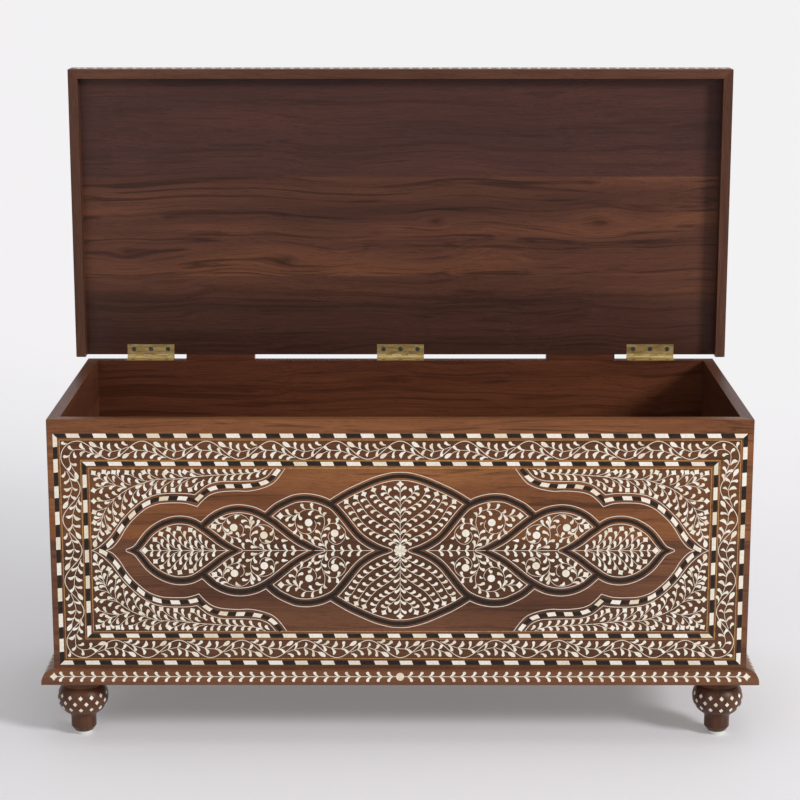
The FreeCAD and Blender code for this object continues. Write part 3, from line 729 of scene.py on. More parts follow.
# %% [markdown]
# ## Leafy corners
# Each corner of the inner field is filled by a leafy spray, closed off by a curved banding of black and
# white tiles between two bone lines. One corner is measured from the field's own corner, x towards the
# middle and y towards mid height, and mirrored into the other three. The sides of the trunk are narrower
# than the front: there the two sprays of a row are cut where they meet, and form a pointed arch.

# %% Lines of one corner
EDGE_A = [(0, 122.6), (3.5, 121.3), (9.7, 117.8), (17.5, 111.6), (27.5, 101.5), (36, 90), (44, 78.5),
          (54, 67), (64.5, 57), (74.5, 49), (87, 42), (99, 38.5), (114.5, 37), (131, 37), (142, 37.5),
          (151.5, 39)]
EDGE_B = [(151.5, 39), (159, 32.5), (167.5, 26), (176.5, 22), (187, 19.5), (196, 19), (213.5, 19),
          (231, 18.5), (239.5, 18), (248.5, 15.5), (257, 10.5), (265.5, 0.5)]
FIELD_A = [(21, 122.5), (25, 121.2), (31, 117.7), (37.2, 111), (42.5, 103.5), (50, 90.7), (59.5, 78.3),
           (70.3, 67.9), (80.1, 60.1), (90.4, 55.2), (101.2, 52.2), (114, 51.2), (131, 51.2), (141.9, 52.7),
           (154.5, 56.8)]
FIELD_B = [(154.5, 56.8), (161.3, 49), (169.7, 41.5), (178.5, 37.1), (188.7, 34.7), (200, 33.7), (213, 33.2),
           (226.2, 33.7), (239.8, 31.7), (250.9, 28.6), (262.2, 23.5), (271, 15.3), (281.7, 0.5)]

# %% Stems of one corner
MAIN_STEM = [(251, 0.5), (244, 3), (235.5, 6), (226.5, 7), (213.5, 8), (196, 9), (178.5, 10), (165.5, 11),
             (153.5, 12), (140.5, 14), (126, 15.5), (109.5, 15.5), (93, 17), (82, 20), (70.5, 24),
             (59.5, 28.5), (50.5, 33.5), (40.5, 41), (31.5, 49), (24.5, 57), (20, 65), (15.5, 78.5),
             (12.5, 91.5), (9, 101.5), (6.5, 107.5)]
BRANCHES = [
    [(53, 29), (41, 26), (31, 22.5), (19, 17), (12.5, 11.5), (7.5, 8.5)],
    [(37.5, 25), (30, 17), (24, 9), (21.5, 5.5)],
    [(59.5, 24.5), (51, 21.5), (43.5, 14.5), (36.5, 7.5)],
    [(85, 19), (75, 17.5), (66.5, 13.5), (60, 10), (55.5, 8)],
    [(104, 16), (95, 13.5), (87.5, 9), (81, 6.5)],
    [(142.5, 13.5), (131.5, 12), (123, 8), (114, 5)],
    [(166.5, 11), (157, 8.5), (147, 5.5), (140.5, 4.5)],
    [(39.5, 25.5), (26.5, 26), (16.5, 28.5), (8, 32)],
    [(41.5, 41), (33.5, 45.5), (25, 47.5), (17, 48.5), (8, 48.5)],
    [(30, 50), (24.5, 57), (19, 60.5), (13.5, 62), (7.5, 64)],
    [(20, 66), (16.5, 72), (13, 76.5), (7.5, 80)],
    [(34.5, 46.5), (32.5, 55.5), (32, 65), (33.5, 74), (34, 80.5)],
    [(53, 32.5), (48.5, 42), (47, 49), (45.5, 55.5), (45, 66)],
    [(79.5, 22), (70.5, 29.5), (63.5, 37.5), (60, 45.5), (59, 51.5)],
    [(99.5, 18), (90.5, 26), (83.5, 34), (79.5, 39)],
    [(122.5, 16), (113.5, 21.5), (106, 27), (100, 33)],
    [(145, 14.5), (134.5, 20.5), (125.5, 27), (121.5, 30.5)],
    [(166.5, 17.5), (155.5, 21.5), (149, 27), (145.5, 30)],
    [(19, 68.5), (21, 77.5), (23, 86.5), (24.5, 92.5)],
]
CORNER_STARS = [
    (6, 6.5), (21, 4.9), (35, 5.5), (54, 6), (78.5, 5.5), (110.5, 4.9), (137.5, 4.9), (5.5, 32.5),
    (5.2, 48.5), (5.5, 65), (5.2, 80.5), (34, 83), (45, 68.5), (59, 54.5), (78.5, 41.5), (99, 34), (120, 32),
    (144.5, 31.5), (24, 94.5),
]

# %% Leaves of one corner
CORNER_LEAVES = [
    (14, 8, 16, 15), (8, 16, 15, 15), (28, 6, 25, 12), (23, 14, 27, 20), (19, 23, 27, 21), (11, 24, 18, 26),
    (16, 35, 20, 29), (30, 29, 37, 26), (35, 13, 36, 20), (42, 4, 42, 11), (48, 12, 50, 20), (47, 23, 53, 28),
    (42, 32, 51, 29), (24, 40, 29, 44), (34, 36, 40, 39), (12, 45, 19, 48), (23, 51, 29, 49),
    (12, 56, 18, 59), (57, 16, 59, 22), (63, 4, 64, 11), (68, 18, 73, 22), (59, 37, 58, 31), (52, 48, 50, 40),
    (43, 44, 44, 38), (39, 56, 36, 49), (49, 59, 47, 53), (28, 65, 26, 58), (36, 67, 33, 59),
    (12, 68, 19, 67), (27, 76, 22, 69), (7, 73, 15, 72), (39, 77, 35, 72), (18, 86, 17, 79), (11, 83, 15, 79),
    (28, 90, 24, 83), (6, 91, 13, 90), (17, 98, 14, 90), (3, 102, 9, 100), (14, 107, 10, 99), (73, 9, 78, 17),
    (86, 3, 88, 9), (86, 12, 92, 16), (97, 4, 98, 11), (107, 8, 111, 15), (120, 3, 122, 8),
    (118, 11, 124, 14), (130, 4, 134, 12), (148, 3, 153, 7), (147, 9, 154, 11), (162, 3, 166, 8),
    (68, 28, 75, 24), (80, 31, 79, 23), (70, 39, 71, 31), (66, 49, 62, 40), (89, 23, 94, 18),
    (87, 38, 90, 29), (95, 29, 97, 22), (105, 23, 111, 17), (109, 33, 111, 26), (119, 25, 122, 18),
    (130, 32, 133, 23), (129, 20, 135, 16), (140, 25, 142, 18), (150, 19, 156, 15), (153, 30, 156, 22),
    (162, 24, 165, 16), (172, 3, 176, 9), (182, 3, 187, 9), (194, 3, 200, 8), (205, 3, 210, 8),
    (217, 3, 222, 8), (227, 3, 233, 7), (239, 2.4, 245, 4), (173, 20, 178, 12), (183, 17, 188, 11),
    (195, 16, 200, 9), (205, 15, 211, 9), (216, 15, 222, 8), (229, 14, 235, 7), (242, 11, 247, 4),
    (252, 7, 257, 2),
]
CORNER_END = [(4.5, 118, 6.5, 106)]
print("one corner:", len(BRANCHES) + 1, "stems,", len(CORNER_LEAVES), "leaves,", len(CORNER_STARS), "stars")


# %% Curved banding
def tiled(path, first, count, half, lean):
    """Every second of count equal stretches of a path, half wide to both sides. The left side is pushed on
    by lean, and the right side back."""
    total, normal = lengths(path)[-1], sideways(path)
    s = (np.arange(first, count, 2)[:, None] + np.linspace(0, 1, 5)) * total / count

    def edge(push, off):
        at = np.clip(s + push, 0, total)
        way = point_at(path, at, normal)
        return point_at(path, at) + off * way / np.linalg.norm(way, axis=-1)[..., None]

    return np.hstack([edge(lean, half), edge(-lean, -half)[:, ::-1]])


def midway(a, b, count=60):
    """The line halfway between two others: both with count even points, and the mean of each pair."""
    even = []
    for points in (a, b):
        fine = smooth(points, 0.5)
        even.append(point_at(fine, np.linspace(0, lengths(fine)[-1], count)))
    return (even[0] + even[1]) / 2


# %% One corner on a face
STRAP_TOP, BAND_HALF, BAND_LEAN, BAND_TILES = 0.09, 3.0, 1.1, (13, 11)
WIDE_ENOUGH, FIELD_UP, MEETING_UP = 300.0, 122.6, 11.2
MAIN_HALF, BRANCH_HALF, LEAF_CLEAR, STAR_CLEAR = 0.42, 0.34, 2.5, 4.0


def upto(points, limit):
    """The part of a line from its start to where x reaches limit, with the crossing as its last point."""
    p = np.asarray(points, float)
    past = np.nonzero(p[:, 0] > limit)[0]
    if len(past) == 0:
        return p
    k = past[0]
    share = (limit - p[k - 1, 0]) / (p[k, 0] - p[k - 1, 0])
    return np.vstack([p[:k], p[k - 1] + share * (p[k] - p[k - 1])])


def corner_pieces(face, sign):
    """One leafy corner: p = sign * (half - (x, y)), with y stretched to the height of the field."""
    half = face["inner"] - INNER_BAND - FIELD_GAP - GILT
    limit = min(half[0], WIDE_ENOUGH)
    narrow = limit < WIDE_ENOUGH

    def put(places):
        return np.array(sign) * (half - np.asarray(places, float) * [1, half[1] / FIELD_UP])

    def put_marks(marks):
        inside = np.array([m for m in marks if max(m[::2]) < limit - LEAF_CLEAR])
        return np.hstack([put(inside[:, :2]), put(inside[:, 2:])])

    def joined(a, b):
        return put(np.vstack([smooth(a), smooth(upto(b, limit))[1:]]))

    main = ([(limit, MEETING_UP)] if narrow else []) + [p for p in MAIN_STEM if p[0] < limit]
    drawn = [main] + [branch for branch in BRANCHES if branch[0][0] < limit]
    stems = [put(smooth(points, STEM_GAP)) for points in drawn]
    edge, field = joined(EDGE_A, EDGE_B), joined(FIELD_A, FIELD_B)
    area = np.vstack([put([(0, 0), (0, FIELD_UP)]), edge] + ([put([(limit, 0)])] if narrow else []))
    band_a, band_b = put(midway(EDGE_A, FIELD_A)), put(midway(upto(EDGE_B, limit), upto(FIELD_B, limit)))
    lean = BAND_LEAN * sign[0] * sign[1]
    black_first = lean < 0
    white = [tiled(band_a, int(black_first), BAND_TILES[0], BAND_HALF, -lean)]
    if black_first or not narrow:
        white.append(tiled(band_b, int(not black_first), 1 if narrow else BAND_TILES[1], BAND_HALF, lean))
    inner_stars = [p for p in CORNER_STARS if p[0] < limit - STAR_CLEAR]
    return {
        "ground": [cut(area[None], GROUND_TOP, 0.0)],
        "black": [strip(np.vstack([band_a, band_b[1:]]), BAND_HALF, STRAP_TOP)],
        "bone": [cut(w, TILE_TOP) for w in white] + [
            strip(edge, LINE, LINE_TOP),
            strip(field, LINE, LINE_TOP),
            strip(stems[0], MAIN_HALF, STEM_TOP),
            *[strip(s, BRANCH_HALF, STEM_TOP) for s in stems[1:]],
            cut(stars(put(inner_stars), stems[1:]), LEAF_TOP),
            cut(commas(put_marks(CORNER_LEAVES), stems), LEAF_TOP),
            cut(shaped(put_marks(CORNER_END), stems, END_LEAF), LEAF_TOP),
        ],
    }


QUARTERS = [(-1, 1), (1, 1), (1, -1), (-1, -1)]


def gather(parts, key):
    """One kind of piece from all four corners."""
    return [chunk for part in parts for chunk in part[key]]


for face in FACES.values():
    quarters = [corner_pieces(face, sign) for sign in QUARTERS]
    inlay(face, "corner_ground", gather(quarters, "ground"), face["ground"])
    inlay(face, "corner_strap", gather(quarters, "black"), black)
    inlay(face, "corner_sprays", gather(quarters, "bone"))

# %% [markdown]
# ## Chain of medallions
# The middle of the field holds seven interlaced medallions: a large one in the centre and three on each
# side that grow smaller. Each has a black strap between two bone lines, and each strap runs under the next
# one. Only the middle line of each strap was measured, in the upper left quarter from the middle of the
# field. The strap's edges and its bone lines are offsets of it, and all is mirrored into the other quarters.

# %% Lines of the straps
LOBES = [
    [(-398, 0), (-391, 0.6), (-385, 2.4), (-379.5, 6.6), (-372.5, 15), (-365, 24.5), (-355, 33.2),
     (-343, 40.3), (-330, 44.8), (-318, 45.9), (-306, 44.3), (-296, 40.2), (-284, 31.8), (-272, 22.7),
     (-260.5, 13.4), (-249, 6.2), (-239, 1.9), (-229, 0)],
    [(-289, 33), (-282, 40.3), (-271, 50.2), (-259, 57.2), (-247, 61.3), (-235, 62.8), (-223, 61.9),
     (-211, 58.9), (-199, 53), (-185, 44.2), (-173.5, 34.9), (-162, 25.2), (-150.5, 16.6), (-139, 9.7),
     (-127, 3.8), (-118, 1), (-109, 0)],
    [(-194.5, 50.2), (-190, 55), (-178, 65.3), (-165, 72.4), (-153, 77.5), (-142, 79.2), (-130, 78.9),
     (-117, 76.2), (-106, 71.8), (-95.5, 65.4), (-84, 52.3), (-72, 36.6), (-60.5, 22.6), (-49, 13.1),
     (-38, 6.6), (-27.5, 2.8), (-18, 0.9), (-11, 0)],
    [(-101, 69.3), (-95, 73.6), (-84, 80.6), (-72, 87.5), (-60, 93.3), (-48, 98.9), (-36, 104), (-23, 108),
     (-11, 110.6), (0, 111.2)],
]
STRAP_HALF, STRAP_RISE, LINE_OFF, FINE, TIP_RUN, TIP_CUT = 2.7, 0.012, 6.0, 0.6, 30.0, 6.0
TIPS = [(True, True), (False, True), (False, True), (False, False)]
LID_TALLER = 1.28


def nearest(a, b):
    """The places in two paths where they come closest."""
    return np.unravel_index(((a[:, None] - b[None]) ** 2).sum(-1).argmin(), (len(a), len(b)))


def offset(path, far, tips, free=0.0):
    """Path moved sideways by far * clip((s - free) / TIP_RUN, 0, 1)^0.4, at s from the nearest tip."""
    run = lengths(path)
    from_end = np.where(np.array(tips)[:, None], [run, run[-1] - run], run[-1]).min(0)
    return path + sideways(path) * far * np.clip((from_end[:, None] - free) / TIP_RUN, 0, 1) ** 0.4


def to_axis(path):
    """The stretch of a path above the axis y = 0, with its crossings as end points."""
    over = np.nonzero(path[:, 1] > 0.01)[0]
    first, last = over[0], over[-1]
    ends = []
    for k, other in ((first, first - 1), (last, last + 1)):
        if 0 <= other < len(path):
            share = path[k, 1] / (path[k, 1] - path[other, 1])
            ends.append(path[k] + share * (path[other] - path[k]))
        else:
            ends.append(path[k])
    return np.vstack([ends[0], path[first:last + 1], ends[1]])


def chain_lines(middles, tips):
    """The outer scalloped line of a quarter, and the upper outline of each inner field."""
    final = len(middles) - 1
    outers = [to_axis(offset(middle, LINE_OFF, tip)) for middle, tip in zip(middles, tips)]
    inners = [to_axis(middle - sideways(middle) * LINE_OFF) for middle in middles]
    scallop, start, fields = [], 0, [inners[0]]
    for k in range(final):
        here, there = nearest(outers[k][start:], outers[k + 1][:len(outers[k + 1]) // 3])
        scallop.append(outers[k][start:start + here + 1])
        start = there + 1
        here, there = nearest(outers[k], inners[k + 1][:len(inners[k + 1]) // 3])
        fields.append(np.vstack([outers[k][here:][::-1], inners[k + 1][there + 1:]]))
    scallop.append(outers[final][start:])
    return np.vstack(scallop), fields


def loop(upper, wide=False):
    """A closed outline from its upper stretch, mirrored below the axis. A wide one is mirrored across x = 0
    before that, because only its left half is given."""
    if wide:
        upper = np.vstack([upper[:-1], [[0, upper[-1, 1]]], upper[:-1][::-1] * [-1, 1]])
    return np.vstack([upper, upper[1:-1][::-1] * [1, -1]])


# %% What grows in the medallions
FIRST = {
    "axis": [[(-248, 0), (-366, 0)]],
    "stems": [
        [(-265.5, 0), (-282, 4), (-294, 15.5), (-302, 28.5)],
        [(-284.5, 0), (-299, 4.5), (-308.5, 14), (-318.5, 30)],
        [(-299, 0), (-312, 5.5), (-323, 15.5), (-334, 28.5)],
        [(-316, 0), (-330, 5.5), (-339.5, 16.5), (-345, 22)],
        [(-332.5, 0), (-342.5, 4), (-348, 10.5), (-353, 14)],
    ],
    "stars": [(-304, 31), (-320.5, 33), (-335.5, 31.5), (-346.8, 25), (-355.5, 16.5)],
    "commas": [
        (-271, 7, -267, 0), (-281, 13, -280, 4), (-290, 22, -287, 11), (-298, 28, -296, 20),
        (-287, 6, -285, 0), (-296, 13, -294, 4), (-304, 19, -303, 9), (-312, 27, -311, 18),
        (-303, 6, -299, 0), (-311, 12, -310, 4), (-319, 19, -317, 10), (-327, 27, -326, 18),
        (-321, 7, -316, 0), (-329, 15, -327, 5), (-336, 22, -335, 12), (-337, 8, -333, 0),
        (-345, 15, -344, 6), (-351, 7, -347, 0), (-361, 7, -358, 0),
    ],
    "diamonds": [(-370.5, 0)],
}
SECOND = {
    "axis": [[(-129, 0), (-228, 0)]],
    "stems": [
        [(-202, 3), (-210.5, 7.5), (-216, 15), (-217.5, 23.5), (-215.5, 31.5), (-209, 37), (-199.5, 39),
         (-190, 36.5), (-184, 30.5), (-182.5, 22.5), (-186, 14), (-193.5, 10.5), (-201, 13), (-204.5, 20)],
        [(-216.5, 29), (-217.5, 39), (-220, 47), (-226.5, 52.5), (-235, 54.5), (-244.5, 52.5), (-251, 49),
         (-255.5, 42), (-266.5, 39)],
        [(-257, 41), (-256.5, 32), (-252.5, 25.5), (-245, 21), (-238, 19), (-232.5, 20.5), (-228.5, 25.3),
         (-226.8, 31.7), (-228.4, 36.6), (-232.5, 39.5)],
        [(-202, 3), (-194, 0.5)],
    ],
    "discs": [(-241, 34.5), (-197.5, 23)],
    "diamonds": [(-270, 36.5)],
    "commas": [
        (-259, 49, -251, 49), (-248, 42, -250, 48), (-266, 45, -258, 40), (-263, 30, -259, 38),
        (-250, 30, -256, 36), (-255, 20, -254, 29), (-228, 44, -221, 44), (-215, 49, -217, 40),
        (-213, 43, -216, 34), (-223, 36, -216, 32), (-205, 44, -210, 37), (-199, 33, -205, 37),
        (-208, 28, -216, 22), (-187, 25, -184, 34), (-245, 27, -253, 26), (-236, 25.5, -234, 19.5),
        (-244, 13, -245, 20), (-232.5, 14.3, -238, 18.6), (-228, 9.4, -225.5, 2.4), (-222, 15, -215, 12),
        (-210, 17, -212, 9), (-214.7, 5.4, -207.5, 4), (-202, 8, -198, 1), (-194, 14, -187, 14),
        (-191, 7, -186, 0), (-170, 15, -163, 15), (-168, 7, -163, 0), (-156, 5, -150, 0),
    ],
    "hearts": [(-239, 47, -232, 53), (-224, 24, -229, 21), (-180, 10, -176, 2), (-176, 18, -182, 22)],
}
THIRD = {
    "axis": [[(-37, 0), (-124, 0)]],
    "stems": [
        [(-106, 1.5), (-112.5, 12), (-115, 22), (-112, 31.5), (-109.5, 41.5), (-111, 51.5), (-117.5, 59),
         (-126.5, 61.5), (-136.5, 61.5), (-144.5, 57.5), (-150.5, 50), (-152, 41), (-148.5, 31.5), (-141, 26),
         (-130.5, 26), (-124, 31.5), (-121.5, 39), (-124, 45)],
        [(-112.5, 32), (-103.5, 39.5), (-94.5, 41), (-85.5, 37), (-79.5, 29), (-80, 19.5), (-86.5, 11.5),
         (-94.5, 9.5), (-102, 14), (-104.5, 22), (-101.5, 28)],
        [(-149.5, 52), (-157.5, 52), (-168.5, 52)],
    ],
    "discs": [(-132.5, 42), (-95, 26)],
    "diamonds": [(-173.5, 52)],
    "commas": [
        (-164, 60, -157, 53), (-164, 46, -158, 51), (-154, 47, -149, 55), (-142, 68, -137, 62),
        (-128, 69, -125, 61), (-116, 63, -114, 54), (-131, 55, -125, 60), (-144, 48, -146, 56),
        (-121, 50, -112, 51), (-143, 35, -149, 39), (-160, 38, -153, 41), (-153, 27, -150, 34),
        (-132, 32, -129, 27), (-103, 46, -105, 38), (-91, 47, -94, 40), (-89, 34, -93, 40),
        (-104, 33, -111, 30), (-121, 29, -115, 24), (-109, 23, -114, 19), (-86, 20, -81, 26),
        (-143, 19, -146, 27), (-131, 19, -136, 25), (-123, 19, -115, 14), (-127, 15.4, -123.5, 9),
        (-107, 13, -107, 4), (-98, 18, -93, 12), (-116.4, 9, -110, 6.2), (-98, 6, -94, 0), (-74, 7, -68, 0),
        (-61, 6, -55, 0),
    ],
    "hearts": [(-152, 62, -146, 56), (-106, 57, -111, 50), (-116, 38, -121, 42), (-85, 7, -81, 0),
               (-73, 18, -79, 23)],
}
MIDDLE_STEMS = [
    [(-1, 6.5), (-6.6, 11.1), (-13.9, 15.9), (-21.1, 20.2), (-29.4, 24), (-37.7, 28.3), (-44.9, 33.7),
     (-52.2, 39.6), (-57.4, 45.6), (-62, 52), (-65.7, 58.5), (-69.8, 64.9), (-75.5, 71)],
    [(0, 14), (-4.5, 21.5), (-8.7, 26.7), (-13.9, 31), (-21.1, 35.3), (-28.4, 39.1), (-35.6, 43.9),
     (-41.8, 48.8), (-47, 53.6), (-51.2, 59.6), (-54.8, 64.9), (-58.4, 70.3), (-62, 77.5)],
    [(0, 31), (-5.6, 38), (-9.7, 42.3), (-14.9, 46.6), (-21.1, 50.9), (-27.3, 55.2), (-34.6, 60.6),
     (-39.8, 66), (-43.9, 70.9), (-47.5, 76.2), (-51, 82)],
    [(0, 49), (-4, 54.7), (-7.7, 59.6), (-11.8, 63.3), (-18, 67.1), (-24.2, 71.4), (-29.4, 75.7), (-33, 80.6),
     (-37.2, 88)],
    [(0, 64.6), (-3, 70.3), (-6.6, 74.6), (-11.8, 79.5), (-17, 83.8), (-22, 91.3)],
]
MIDDLE_STARS = [(-77.9, 73.3), (-64.1, 80.2), (-52.4, 84.9), (-38.4, 91), (-23.7, 94)]
MIDDLE_LEAVES = [(9, 8.0), (7, 12.0), (6, 11.0), (5, 11.0), (3, 12.0)]
MIDDLE_COMMAS = [
    (-14.7, 91.4, -17.3, 85.2), (-7.2, 93.9, -1, 87.5), (-6.3, 80, -0.5, 74.5), (-6, 62.5, -0.5, 56),
    (-7.2, 46.6, -0.5, 41), (-6.4, 29.6, -0.5, 23.8), (-7.8, 15.6, -0.5, 10.5),
]
print("medallion stems", [len(m["stems"]) for m in (FIRST, SECOND, THIRD)], len(MIDDLE_STEMS))


# %% Growth in one quarter
THIN_STEM, TWIG_GAP, DISC_RADIUS, TIP_STAR = 0.32, 2.6, 5.6, (5.4, 3.6)
UPRIGHT, TOP_PLACE, TOP_STAR = [(0.0, 9.0), (0.0, 96.0)], [(0, 99.5)], (5.6, 3.3)
LEAF_REACH, LEAF_REST = (-7.3, -1.6), 6.5
PETAL = np.array([(0.16, -0.05), (0.5, -0.20), (0.74, -0.27), (0.93, -0.20), (1.0, 0), (0.93, 0.20),
                  (0.74, 0.27), (0.5, 0.20), (0.16, 0.05)])


def growth(design, scale, sign):
    """Stems, leaves, stars and discs of one medallion's upper left quarter, at scale and mirrored by sign."""
    factor = np.array(scale) * sign
    upper = sign[1] > 0

    def put(key):
        return np.asarray(design[key], float) * (factor if len(design[key][0]) == 2 else np.tile(factor, 2))

    twigs = [smooth(np.asarray(s) * factor, TWIG_GAP) for s in design["stems"]]
    stems = twigs + [spread(np.asarray(line) * factor, STEM_GAP) for line in design["axis"]]
    chunks = [strip(s, THIN_STEM, STEM_TOP) for s in (stems if upper else twigs)]
    chunks.append(cut(commas(put("commas"), stems), LEAF_TOP))
    if "hearts" in design:
        chunks.append(cut(shaped(put("hearts"), stems, HEART), LEAF_TOP))
    if "stars" in design:
        chunks.append(cut(stars(put("stars"), stems), LEAF_TOP))
    if "discs" in design:
        chunks.append(cut(disc(put("discs"), DISC_RADIUS), LEAF_TOP))
    tips = put("diamonds")[[upper or d[1] > 0 for d in design["diamonds"]]]
    if len(tips):
        chunks.append(cut(stars(tips, stems, *TIP_STAR), LEAF_TOP))
    return chunks


def middle_quarter(factor):
    """Under each side stem, leaves at even steps up to LEAF_REST before its end, with their heads LEAF_REACH
    further out, and pairs of leaves on the axis."""
    stems = [smooth(np.asarray(s) * factor, TWIG_GAP) for s in MIDDLE_STEMS]
    upright = spread(np.array(UPRIGHT) * factor, STEM_GAP)
    leaves = []
    for stem, (count, skip) in zip(stems, MIDDLE_LEAVES):
        tail = point_at(stem, np.linspace(skip, lengths(stem)[-1] - LEAF_REST, count))
        leaves.append(np.hstack([tail + factor * LEAF_REACH, tail]))
    chunks = [strip(s, THIN_STEM, STEM_TOP) for s in stems] + [
        cut(commas(np.vstack(leaves), stems), LEAF_TOP),
        cut(commas(np.array(MIDDLE_COMMAS) * np.tile(factor, 2), [upright]), LEAF_TOP),
        cut(stars(np.array(MIDDLE_STARS) * factor, stems), LEAF_TOP),
    ]
    if factor[0] > 0:
        chunks.append(strip(upright, THIN_STEM, STEM_TOP))
        chunks.append(cut(stars(np.array(TOP_PLACE) * factor, [upright], *TOP_STAR), LEAF_TOP))
    return chunks


def flower(radius=9.6):
    """Eight round petals: each petal is the outline PETAL times radius, turned by k * 45 degrees."""
    turn = (np.arange(8) * np.pi / 4)[:, None]
    x, y = PETAL[None, :, 0] * radius, PETAL[None, :, 1] * radius
    petals = np.stack([x * np.cos(turn) - y * np.sin(turn), x * np.sin(turn) + y * np.cos(turn)], -1)
    return [cut(petals, LEAF_TOP), cut(disc([(0, 0)], 2.2, 12), DISC_TOP)]


print("a flower has", len(flower()[0][1]), "faces")


# %% Strap pieces
SHARP, KEEP_EVERY = 0.93, 4


def turned(chunk, sign):
    """A piece mirrored by sign, with its faces turned round where that mirrors it once."""
    points, faces, tones = chunk
    if sign[0] * sign[1] < 0:
        faces = [face[::-1] for face in faces]
    return points * [sign[0], sign[1], 1], faces, tones


def strap(middle, tips, top):
    """The black strip in all four quarters: STRAP_HALF to both sides of its middle, ended TIP_CUT before a
    tip and kept over the axis."""
    skip = round(TIP_CUT / FINE)
    left = offset(middle, STRAP_HALF, tips, TIP_CUT)
    right = middle - sideways(middle) * STRAP_HALF
    right[:, 1] = np.maximum(right[:, 1], 0)
    first, last = skip if tips[0] else 0, len(middle) - 1 - (skip if tips[1] else 0)
    picked = np.append(np.arange(first, last, KEEP_EVERY), last)
    return [turned(band(left[picked], right[picked], top), s) for s in QUARTERS]


def thin(outline):
    """Leaves out points of a closed fine line wherever it runs smoothly, and keeps its corners."""
    step = np.diff(np.vstack([outline[-1:], outline, outline[:1]]), axis=0)
    step = step / np.maximum(np.linalg.norm(step, axis=1), 1e-9)[:, None]
    sharp = (step[1:] * step[:-1]).sum(1) < SHARP
    near = np.roll(sharp, 1) | np.roll(sharp, -1)
    return outline[sharp | (~near & (np.arange(len(outline)) % KEEP_EVERY == 0))]


# %% The chain on the front and the lid
def grown(designs, scale=(1.0, 1.0)):
    """What grows in all four quarters. It is measured in the upper left one."""
    return [chunk for x, y in QUARTERS for design in designs for chunk in growth(design, scale, (-x, y))]


def chain(face, scale=(1.0, 1.0)):
    """Straps, bone lines, red ground and growth of the whole chain."""
    middles = [smooth(np.asarray(lobe, float) * scale, FINE) for lobe in LOBES]
    scallop, fields = chain_lines(middles, TIPS)
    inside = [loop(field) * [m, 1] for field in fields[:-1] for m in (1, -1)] + [loop(fields[-1], wide=True)]
    inside = [thin(outline) for outline in inside]
    straps = []
    for k, (middle, tips) in enumerate(zip(middles, TIPS)):
        straps += strap(middle, tips, STRAP_TOP + STRAP_RISE * k)
    lines = [strip(o, LINE, LINE_TOP, closed=True) for o in [thin(loop(scallop, wide=True))] + inside]
    centre = [chunk for x, y in QUARTERS for chunk in middle_quarter(np.array([-x, y]) * scale)]
    grounds = [cut(outline[None], GROUND_TOP, 0.0) for outline in inside]
    inlay(face, "medallion_ground", grounds, face["ground"])
    inlay(face, "medallion_straps", straps, black)
    inlay(face, "medallion_lines", lines)
    inlay(face, "medallion_growth", grown([FIRST, SECOND, THIRD], scale) + centre + flower())


chain(FACES["front"])
chain(FACES["lid"], (FACES["lid"]["inner"][0] / FACES["front"]["inner"][0], LID_TALLER))

# %% [markdown]
# ## The sides
# The photograph shows the sides only edge on, so their middle is a guess in the same manner: one pointed
# medallion with a flower, and growth out of it to both tips. It uses the strap, the lines and the leaves
# of the front, so that the three faces belong together.

# %% Side medallion
SIDE_LOBE = [(-103, 0), (-96, 0.6), (-90, 2.6), (-84.5, 7.5), (-77.5, 17), (-68, 30.5), (-56, 42),
             (-42, 49.5), (-26, 53.8), (-12, 55.2), (0, 55.5)]
SIDE_TIPS = (True, False)
SIDE_GROWTH = {
    "axis": [[(-9, 0), (-72, 0)]],
    "stems": [
        [(-10, 0), (-26, 6.5), (-38, 20), (-45, 27)], [(-30, 0), (-41, 4.5), (-48, 12), (-53.5, 17)],
        [(0, 13), (-8, 17), (-19, 27), (-28, 36)], [(0, 10), (0, 36)],
    ],
    "stars": [(-47, 29.5), (-56, 20), (-30, 38.5)],
    "diamonds": [(-76.5, 0), (0, 40)],
    "commas": [
        (-17, 8, -13, 1), (-26, 16, -24, 6), (-35, 26, -33, 14), (-22, 0.5, -29, 8), (-34, 8, -31, 1),
        (-43, 15, -42, 6), (-41, 1, -47, 11), (-51, 8, -46, 1), (-61, 8, -56, 0), (-68, 5, -65, 0),
        (-8, 25, -7, 16), (-17, 34, -16, 24), (-17, 19, -11, 19), (-26, 27, -20, 28), (-6, 33, 0, 27),
        (-5, 41, 0, 34),
    ],
}


def side_medallion(face):
    """One lobe mirrored both ways: its strap, two bone lines, red ground and growth with a flower."""
    middle = smooth(SIDE_LOBE, FINE)
    edges = (to_axis(offset(middle, LINE_OFF, SIDE_TIPS)), to_axis(middle - sideways(middle) * LINE_OFF))
    outlines = [thin(loop(edge, wide=True)) for edge in edges]
    inlay(face, "medallion_ground", [cut(outlines[1][None], GROUND_TOP, 0.0)], face["ground"])
    inlay(face, "medallion_straps", strap(middle, SIDE_TIPS, STRAP_TOP), black)
    inlay(face, "medallion_lines", [strip(o, LINE, LINE_TOP, closed=True) for o in outlines])
    inlay(face, "medallion_growth", grown([SIDE_GROWTH]) + flower())


side_medallion(FACES["left"])
side_medallion(FACES["right"])

# %% [markdown]
# ## Leaf line on the base and the rims
# A straight bone line with pairs of comma leaves runs along the rounded edge of the base. The heads point
# away from a disc in the middle, and a diamond ends the line at each corner. The outer edge of the lid
# shows the same kind of pale pattern, seen edge on in the photograph. The line is drawn flat and then
# rolled round the quarter circle of the base, so that the bone follows the wood.

